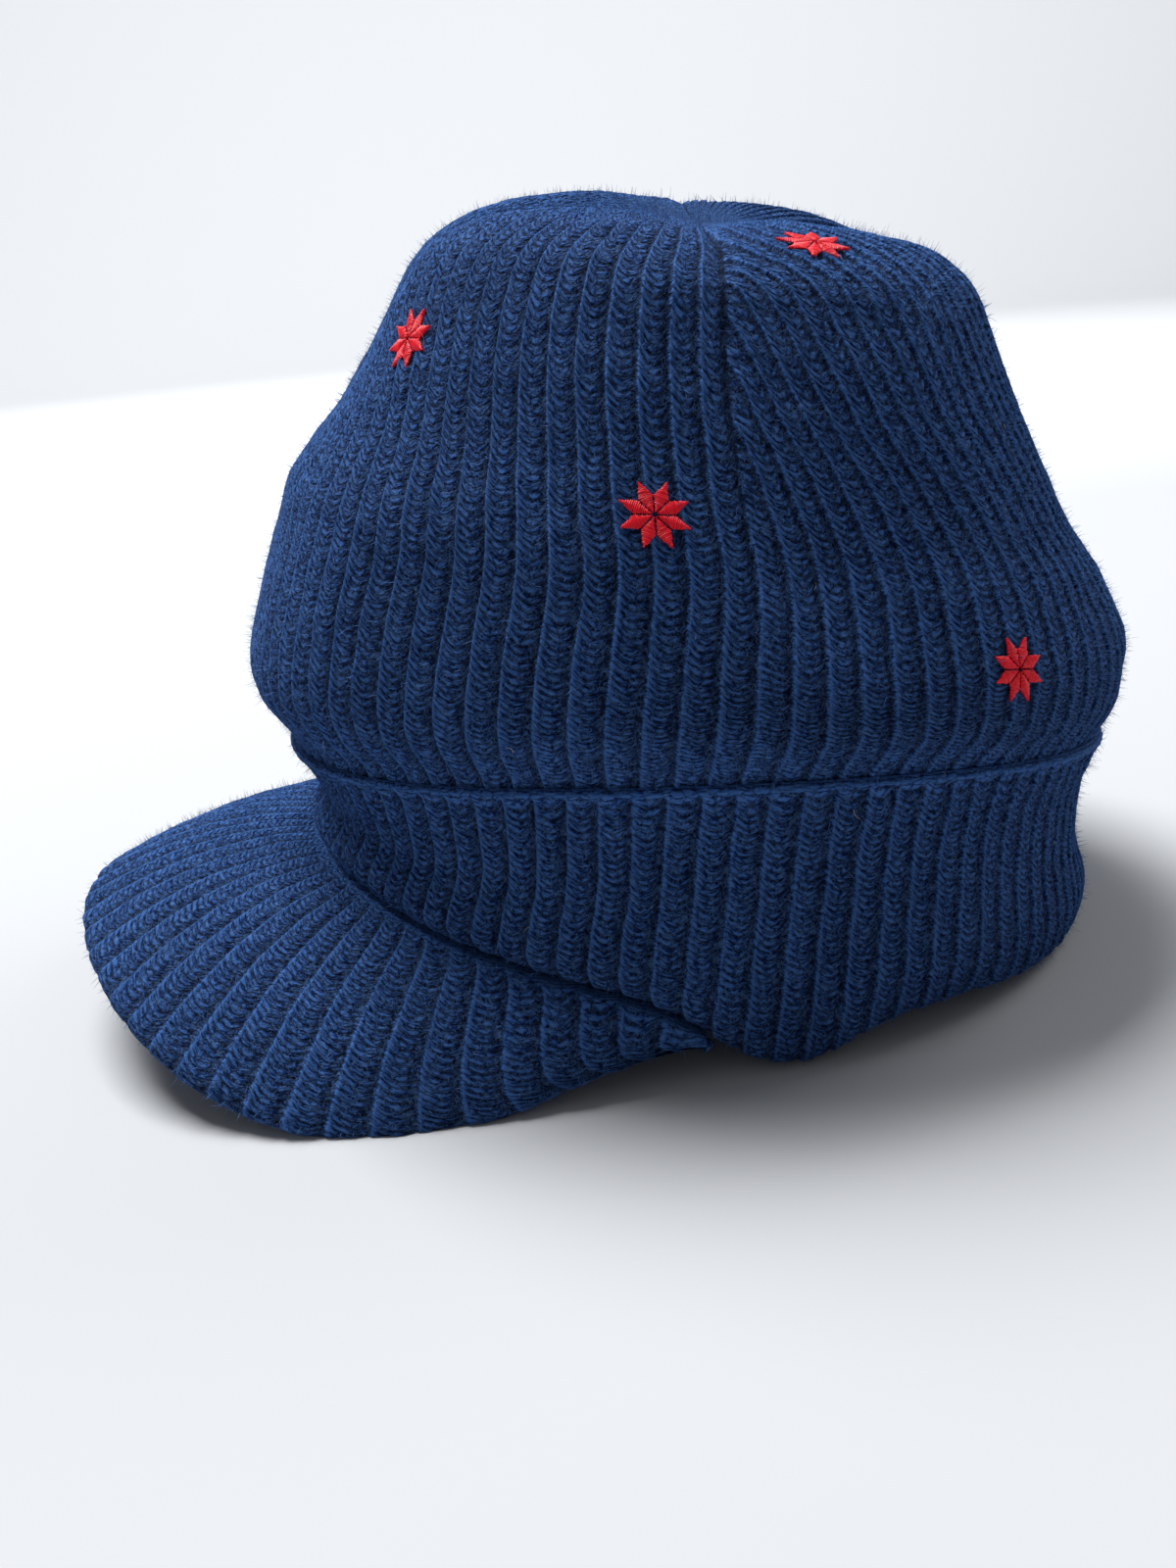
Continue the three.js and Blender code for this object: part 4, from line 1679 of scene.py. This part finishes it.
class Hair(Enum):
    """Loose hairs on the hat, by the name of the finish of each: its colour and how it catches light."""

    WOOL = ("navy_wool_fibre", "#4a6ca6", 0.75)
    LINT = ("pale_cotton_lint", "#b8b2aa", 0.8)

    def material(self) -> bpy.types.Material:
        """Build the finish of this hair.

        Returns:
            The material, the same one every time.
        """
        name, colour, roughness = self.value
        if name in bpy.data.materials:
            return bpy.data.materials[name]
        made, add, shader = new_finish(name)
        place = add("ShaderNodeTexCoord").outputs["Object"]
        tint = add("ShaderNodeTexNoise", None, Vector=place, Scale=per(HAIR_PATCH), Detail=1.0)
        tint = add(MATH, "MULTIPLY_ADD", tint, *HAIR_TONE)
        tinted = add(VECTOR_MATH, "SCALE", srgb(colour)[:3], Scale=tint)
        connect(shader, Base_Color=tinted, Roughness=roughness, Specular_IOR_Level=HAIR_GLOSS)
        return made


@dataclass(frozen=True)
class PaperSweep:
    """Matt pale paper under and behind the hat: no gloss, so the hat's shadow is soft and plain."""

    name: str = "pale_matt_paper"
    colour: str = "#b6b8bb"
    roughness: float = 0.95
    gloss: float = 0.1

    def material(self) -> bpy.types.Material:
        """Build the material.

        Returns:
            The material.
        """
        made, _, shader = new_finish(self.name)
        connect(shader, Base_Color=srgb(self.colour), Roughness=self.roughness)
        connect(shader, Specular_IOR_Level=self.gloss)
        return made


# ---- stitched stars and loose hairs
def points_object(name: str, places: Array, **vectors: Array) -> bpy.types.Object:
    """Make an object of loose points that carry vectors or numbers as attributes.

    Args:
        name: The object's name.
        places: Points in metres.
        vectors: Attributes by name, one value or three a point.

    Returns:
        The linked object.
    """
    mesh = bpy.data.meshes.new(name)
    mesh.vertices.add(len(places))
    mesh.vertices.foreach_set("co", places.astype(np.float32).ravel())
    for key, values in vectors.items():
        add_attribute(mesh, key, values, "FLOAT_VECTOR" if values.ndim == 2 else "FLOAT")
    return place_in_scene(name, mesh)


def strand_tree(
    name: str, sides: int, steps: int, taper: float, material: bpy.types.Material
) -> bpy.types.NodeTree:
    """Build a tree that lays a bowed strand on every point, along its along vector.

    Args:
        name: The tree's name.
        sides: Sides of the strand's section.
        steps: Stretches along the strand.
        taper: Radius of its far end, as a share of the near end's.
        material: The strand's material.

    Returns:
        The tree, with inputs for radius and bow.
    """
    tree = bpy.data.node_groups.new(name, "GeometryNodeTree")
    tree.interface.new_socket("Geometry", in_out="INPUT", socket_type="NodeSocketGeometry")
    for key in ("Radius", "Bow"):
        tree.interface.new_socket(key, in_out="INPUT", socket_type="NodeSocketFloat").default_value = 0.2 * MM
    tree.interface.new_socket("Geometry", in_out="OUTPUT", socket_type="NodeSocketGeometry")
    add = partial(add_node, tree)
    sizes = add("NodeGroupInput").outputs
    named = "GeometryNodeInputNamedAttribute"
    vector, out = (add(named, {"data_type": "FLOAT_VECTOR"}, key) for key in ("along", "out"))
    girth = add(named, {"data_type": "FLOAT"}, "girth")
    bow = add("ShaderNodeCombineXYZ", None, 0.5, 0.0, sizes["Bow"])
    ends = {"Start": (0.0, 0.0, 0.0), "End": (1.0, 0.0, 0.0)}
    whole = add("GeometryNodeCurveQuadraticBezier", None, Resolution=12, Middle=bow, **ends)
    line = add("GeometryNodeResampleCurve", {"mode": "COUNT"}, Curve=whole, Count=steps + 1)
    along = add("GeometryNodeSplineParameter").outputs["Factor"]
    thin = add("ShaderNodeMapRange", None, along, 0.0, 1.0, 1.0, taper)
    shaped = add("GeometryNodeSetCurveRadius", None, Curve=line, Radius=thin)
    ring = add("GeometryNodeCurvePrimitiveCircle", None, Resolution=sides, Radius=sizes["Radius"])
    tube = add("GeometryNodeCurveToMesh", None, Curve=shaped, Profile_Curve=ring, Fill_Caps=True)
    if "Scale" in tube.inputs:
        tree.links.new(thin.outputs[0], tube.inputs["Scale"])
    length = add(VECTOR_MATH, "LENGTH", vector).outputs["Value"]
    first = add("FunctionNodeAlignRotationToVector", {"axis": "X"}, Vector=vector)
    turned = {"axis": "Z", "pivot_axis": "X"}
    second = add("FunctionNodeAlignRotationToVector", turned, Rotation=first, Vector=out)
    size = add("ShaderNodeCombineXYZ", None, length, girth, girth)
    places = {"Points": sizes["Geometry"], "Instance": tube, "Rotation": second, "Scale": size}
    real = add("GeometryNodeRealizeInstances", None, add("GeometryNodeInstanceOnPoints", None, **places))
    add("NodeGroupOutput", None, add("GeometryNodeSetMaterial", None, Geometry=real, Material=material))
    return tree


class StarPlace(NamedTuple):
    """Where a stitched star sits on the crown, and how far it is turned."""

    angle: float
    height: float
    turn: float


@dataclass
class Stars:
    """Small eight-petalled stars, each petal a lozenge of satin stitches across its length."""

    crown: Crown
    places: tuple[StarPlace, ...] = (
        StarPlace(74.4, 104, 2),
        StarPlace(118, 77, -3),
        StarPlace(30, 131, 4),
        StarPlace(106, 153.5, 0),
        StarPlace(168, 106, -2),
        StarPlace(214, 82, 3),
        StarPlace(262, 112, 0),
        StarPlace(312, 86, -4),
        StarPlace(282, 150, 2),
    )
    petal_side: float = 3.9
    petal_gap: float = 0.16
    spacing: float = 0.36
    thread: float = 0.4
    bow: float = 0.3
    lift: float = 0.3
    petals: int = 8
    first_stitch: float = 0.7
    last_gap: float = 0.35
    shortest: float = 0.12
    jitter: float = 0.05
    girths: Pair = (0.85, 1.15)
    seed: int = 11

    def stitches(self) -> tuple[Array, Array]:
        """Ends of one star's stitches.

        Returns:
            The stitches' starts and ends on the star's own plane, in millimetres.
        """
        starts, ends = [], []
        half = math.radians(180 / self.petals)
        long_half, short_half = self.petal_side * math.cos(half), self.petal_side * math.sin(half)
        for petal in range(self.petals):
            turn = math.radians(360 / self.petals * petal + 180 / self.petals)
            axis = np.array([math.cos(turn), math.sin(turn)])
            across = np.array([-axis[1], axis[0]])
            for step in np.arange(self.first_stitch, 2 * long_half - self.last_gap, self.spacing):
                width = short_half * (1 - abs(step - long_half) / long_half) - self.petal_gap
                if width > self.shortest:
                    starts.append(axis * step - across * width)
                    ends.append(axis * step + across * width)
        return np.array(starts), np.array(ends)

    def on_crown(self, place: StarPlace, spots: Array) -> tuple[Array, Array]:
        """Lay spots of a star's plane on the crown.

        Args:
            place: Where the star sits.
            spots: Spots in millimetres.

        Returns:
            Points on the crown and the outward directions there.
        """
        crown = self.crown
        line = crown.surface(np.full(crown.places.shape, place.angle - crown.first_seam), crown.places)
        run = np.append(0, np.cumsum(np.linalg.norm(np.diff(line, axis=0), axis=1)))
        # Heights rise all the way but for the last stretch between sections.
        rising = len(line) * (len(CROWN_SECTIONS) - 2) // (len(CROWN_SECTIONS) - 1)
        middle = np.interp(place.height, line[:rising, 2], run[:rising])
        turn = math.radians(place.turn)
        right = spots[:, 0] * math.cos(turn) - spots[:, 1] * math.sin(turn)
        up = spots[:, 0] * math.sin(turn) + spots[:, 1] * math.cos(turn)
        rows = np.interp(middle + up, run, crown.places)
        radius = np.interp(rows, crown.places, crown.radius_of_place)
        degrees = place.angle - crown.first_seam + np.degrees(right / radius)
        return crown.surface(degrees, rows), crown.outward(degrees, rows)

    def build(self, material: bpy.types.Material) -> bpy.types.Object:
        """Stitch all the stars.

        Args:
            material: The thread's material.

        Returns:
            One object with every star.
        """
        form, starts, ends = self.crown.form, *self.stitches()
        chance = np.random.default_rng(self.seed)
        places, alongs, outs = [], [], []
        for place in self.places:
            jitter = chance.normal(0, self.jitter, starts.shape)
            (a, out), (b, _) = self.on_crown(place, starts + jitter), self.on_crown(place, ends - jitter)
            places.append(form.rest(a + out * self.lift))
            alongs.append(form.turned(b - a) * MM)
            outs.append(form.turned(out))
        points, along, out = (np.concatenate(v) for v in (places, alongs, outs))
        girth = chance.uniform(*self.girths, len(along))
        piece = points_object("stitched_stars", points, along=along, out=out, girth=girth)
        tree = strand_tree("satin_stitches", 6, 4, 1.0, material)
        return settle_nodes(piece, tree, {"Radius": self.thread / 2 * MM, "Bow": self.bow * 2 * MM}, material)


@dataclass(frozen=True)
class Hairs:
    """Loose hairs that stand off a surface, with lengths and radius in millimetres."""

    name: str
    kind: Hair
    count: int
    shortest: float
    longest: float
    steepness: float
    radius: float
    seed: int
    steps: int
    steepnesses: Pair = (0.3, 1.3)
    lengths: Pair = (1.4, 3.0)
    sideways: float = 1.2
    steepest: float = 1.1
    bend: float = 0.5
    clearance: float = 0.8
    girths: Pair = (0.6, 1.3)
    taper: float = 0.25
    bow: float = 0.35

    def build(self, pieces: Sequence[bpy.types.Object]) -> bpy.types.Object:
        """Scatter the hairs over the knitted faces of pieces.

        Args:
            pieces: Finished knitted pieces.

        Returns:
            One object with every hair.
        """
        chance = np.random.default_rng(self.seed)
        corners, outs, areas = [], [], []
        for piece in pieces:
            mesh = piece.data
            mesh.calc_loop_triangles()
            triangle = values_of(mesh.loop_triangles, "vertices", 3, np.int32)
            owner = values_of(mesh.loop_triangles, "polygon_index", kind=np.int32)
            side = values_of(mesh.attributes["side"].data, "value", kind=np.int32)
            triangle = triangle[side[owner] == Side.FACE.value]
            corner = values_of(mesh.vertices, "co", 3)[triangle]
            corners.append(corner)
            outs.append(values_of(mesh.attributes["out"].data, "vector", 3)[triangle[:, 0]])
            edges = corner[:, 1:] - corner[:, :1]
            areas.append(np.linalg.norm(np.cross(edges[:, 0], edges[:, 1]), axis=1))
        corner, out, area = (np.concatenate(v) for v in (corners, outs, areas))
        chosen = chance.choice(len(area), self.count, p=area / area.sum())
        share = chance.dirichlet((1, 1, 1), self.count)
        place = (corner[chosen] * share[:, :, None]).sum(1)
        normal = unit(out[chosen])
        stray = unit(np.cross(normal, chance.normal(size=(self.count, 3))))
        steep = self.steepness * chance.uniform(*self.steepnesses, self.count)[:, None]
        length = self.shortest + (self.longest - self.shortest) * chance.beta(*self.lengths, self.count)
        leaning = normal * steep + stray * (self.sideways - np.minimum(steep, self.steepest))
        along = unit(leaning) * length[:, None] * MM
        bent = normal * chance.normal(0, self.bend, self.count)[:, None] * length[:, None] * MM
        lowest = np.minimum(place[:, 2], place[:, 2] + along[:, 2])
        kept = lowest > self.clearance * MM
        girth = chance.uniform(*self.girths, self.count)
        out = np.cross(along, normal) + bent
        piece = points_object(self.name, place[kept], along=along[kept], out=out[kept], girth=girth[kept])
        material = self.kind.material()
        tree = strand_tree(self.name + "_strands", 3, self.steps, self.taper, material)
        middle = (self.shortest + self.longest) / 2
        sizes = {"Radius": self.radius * MM, "Bow": self.bow * middle * MM}
        return settle_nodes(piece, tree, sizes, material)


# ---- studio
# Height of the hat's middle over the floor, in metres.
HAT_MIDDLE = 0.08


@dataclass(frozen=True)
class Lamp:
    """Soft square lamp: its place in metres, the direction away from what it lights, its size and power."""

    name: str
    place: Triple
    away: Triple
    size: float
    power: float
    colour: str = "#ffffff"

    @classmethod
    def round_hat(
        cls, name: str, azimuth: float, elevation: float, distance: float, size: float, power: float
    ) -> "Lamp":
        """A lamp that hangs round the hat and faces its middle.

        Args:
            name: The lamp's name.
            azimuth: Direction round the hat in degrees, 0 in front of the peak.
            elevation: Degrees above the floor.
            distance: Metres from the hat's middle.
            size: Width in metres.
            power: Watts.

        Returns:
            The lamp.
        """
        a, e = math.radians(azimuth), math.radians(elevation)
        away = Vector((math.sin(a) * math.cos(e), -math.cos(a) * math.cos(e), math.sin(e)))
        return cls(name, tuple(Vector((0, 0, HAT_MIDDLE)) + away * distance), tuple(away), size, power)


@dataclass
class Studio:
    """Pale sweep, soft lamps and the camera."""

    form: HatForm
    eye: Triple = (338.245, -81.627, 140.02)
    right: Triple = (0.145475, 0.987675, 0.057751)
    up: Triple = (-0.325338, -0.007370, 0.945569)
    lens: float = 32.625
    sensor: float = 36
    clip: Pair = (0.01, 50)
    floor_radius: float = 3.0
    floor_rings: tuple[float, ...] = (0.1, 0.4, 0.7, 1.0)
    rim_radius: float = 1.2
    rim_rings: int = 12
    floor_sides: int = 96
    sky: str = "#e6e8ec"
    sky_strength: float = 0.26
    # The third lamp hangs high behind the hat and faces the far side of the sweep, so that it looks as pale
    # as the floor.
    lamps: tuple[Lamp, ...] = (
        Lamp.round_hat("key_lamp", 305, 66, 2.4, 1.3, 114),
        Lamp.round_hat("back_edge_lamp", 200, 38, 2.0, 1.0, 11),
        Lamp("backdrop_lamp", (-1.4, 0.0, 2.6), (1.0, 0.0, 0.35), 3.0, 192),
    )

    def build(self, paper: bpy.types.Material) -> None:
        """Set out the sweep, the lamps, the sky and the camera.

        Args:
            paper: The sweep's material.
        """
        self.add_sweep(paper)
        self.add_sky()
        for lamp in self.lamps:
            self.add_lamp(lamp)
        self.add_camera()

    def add_sweep(self, paper: bpy.types.Material) -> None:
        """Lay a round floor whose rim curves up all round.

        Args:
            paper: The sweep's material.
        """
        profile = [(self.floor_radius * t, 0.0) for t in self.floor_rings]
        for turn in np.linspace(0, math.pi / 2, self.rim_rings + 1)[1:]:
            rise = self.rim_radius - self.rim_radius * math.cos(turn)
            profile.append((self.floor_radius + self.rim_radius * math.sin(turn), rise))
        mesh = bpy.data.meshes.new("floor")
        built = bmesh.new()
        rings = []
        turns = np.linspace(0, 2 * math.pi, self.floor_sides + 1)[:-1]
        for radius, height in profile:
            ring = [(radius * math.cos(a), radius * math.sin(a), height) for a in turns]
            rings.append([built.verts.new(corner) for corner in ring])
        hub = built.verts.new((0, 0, 0))
        for i in range(self.floor_sides):
            j = (i + 1) % self.floor_sides
            built.faces.new((hub, rings[0][i], rings[0][j]))
            for low, high in zip(rings[:-1], rings[1:]):
                built.faces.new((low[i], high[i], high[j], low[j]))
        for face in built.faces:
            face.smooth = True
        built.to_mesh(mesh)
        built.free()
        mesh.materials.append(paper)
        floor = place_in_scene("floor", mesh)

    def add_sky(self) -> None:
        """Light the room evenly from all round."""
        world = bpy.data.worlds.new("studio")
        bpy.context.scene.world = world
        world.use_nodes = True
        ground = world.node_tree.nodes["Background"]
        ground.inputs[0].default_value = srgb(self.sky)
        ground.inputs[1].default_value = self.sky_strength

    def add_lamp(self, lamp: Lamp) -> None:
        """Hang a soft lamp.

        Args:
            lamp: The lamp.
        """
        light = bpy.data.lights.new(lamp.name, "AREA")
        light.shape, light.size = "SQUARE", lamp.size
        light.energy, light.color = lamp.power, srgb(lamp.colour)[:3]
        hung = place_in_scene(lamp.name, light)
        hung.location = lamp.place
        hung.rotation_euler = Vector(lamp.away).to_track_quat("Z", "Y").to_euler()

    def add_camera(self) -> None:
        """Stand the camera at its place beside the hat."""
        camera = bpy.data.cameras.new("camera")
        camera.lens, camera.sensor_width = self.lens, self.sensor
        camera.clip_start, camera.clip_end = self.clip
        stand = place_in_scene("camera", camera)
        right, up = (Vector(self.form.turned(np.array(v))) for v in (self.right, self.up))
        facing_back = right.cross(up).normalized()
        up = facing_back.cross(right.normalized())
        turn = Matrix((right.normalized(), up, facing_back)).transposed()
        stand.matrix_world = Matrix.Translation(Vector(self.form.rest(np.array(self.eye)))) @ turn.to_4x4()
        bpy.context.scene.camera = stand


# ---- the hat
@dataclass
class Beanie:
    """The whole hat, built piece by piece."""

    form: HatForm = HatForm()
    relief: KnitRelief = KnitRelief()
    peak_relief: float = 0.6
    wool: LambswoolKnit = LambswoolKnit()
    hairs: tuple[Hairs, ...] = (
        # Name, kind, count, shortest, longest, steepness, radius, seed and steps. Real fibres are about
        # 0.03 mm across: these are drawn coarser, so that they show.
        Hairs("wool_halo", Hair.WOOL, 23500, 0.8, 3.3, 1.6, 0.055, 21, 1),
        Hairs("wool_nap", Hair.WOOL, 13500, 0.8, 3.2, 0.5, 0.05, 22, 2),
        Hairs("lint", Hair.LINT, 30, 1.5, 4.5, 0.3, 0.07, 23, 3),
    )

    def register(self, piece: bpy.types.Object, slot: str, *nodes: str) -> None:
        """Tie a piece to the hat's one body and hide the CAD nodes that it stands for.

        Args:
            piece: The finished piece.
            slot: Not used.
            nodes: The CAD nodes that it stands for.
        """
        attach(piece, "root")
        if nodes:
            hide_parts(*nodes)
        LOG.info("%s: %d triangles", piece.name, sum(len(p.vertices) - 2 for p in piece.data.polygons))

    def build(self) -> None:
        """Build and dress every piece."""
        wool, crown, knitted = self.wool.material(), Crown(self.form), []
        sides = ("front_left", "back_left", "back_right", "front_right")
        skins = [(crown.gore(k), f"crown_gore_{side}", "crown", 1.0) for k, side in enumerate(sides)]
        skins.append((Cuff(self.form).knit(), "cuff_knit", "cuff", 1.0))
        skins.append((Peak(self.form).knit(), "peak_knit", "peak", self.peak_relief))
        for skin, name, node, depth in skins:
            knitted.append(self.relief.apply(skin.object(name, self.form), wool, depth))
            self.register(knitted[-1], node + "_knit", node)
        self.register(Stars(crown).build(SatinThread().material()), "crown_knit")
        for hairs in self.hairs:
            self.register(hairs.build(knitted), "crown_knit")


def main() -> None:
    """Build the hat and its studio."""
    logging.basicConfig(level=logging.INFO, format="%(name)s: %(message)s")
    bpy.context.scene.view_settings.view_transform = "Standard"
    hat = Beanie()
    Studio(hat.form).build(PaperSweep().material())
    hat.build()


if __name__ == "__main__":
    main()
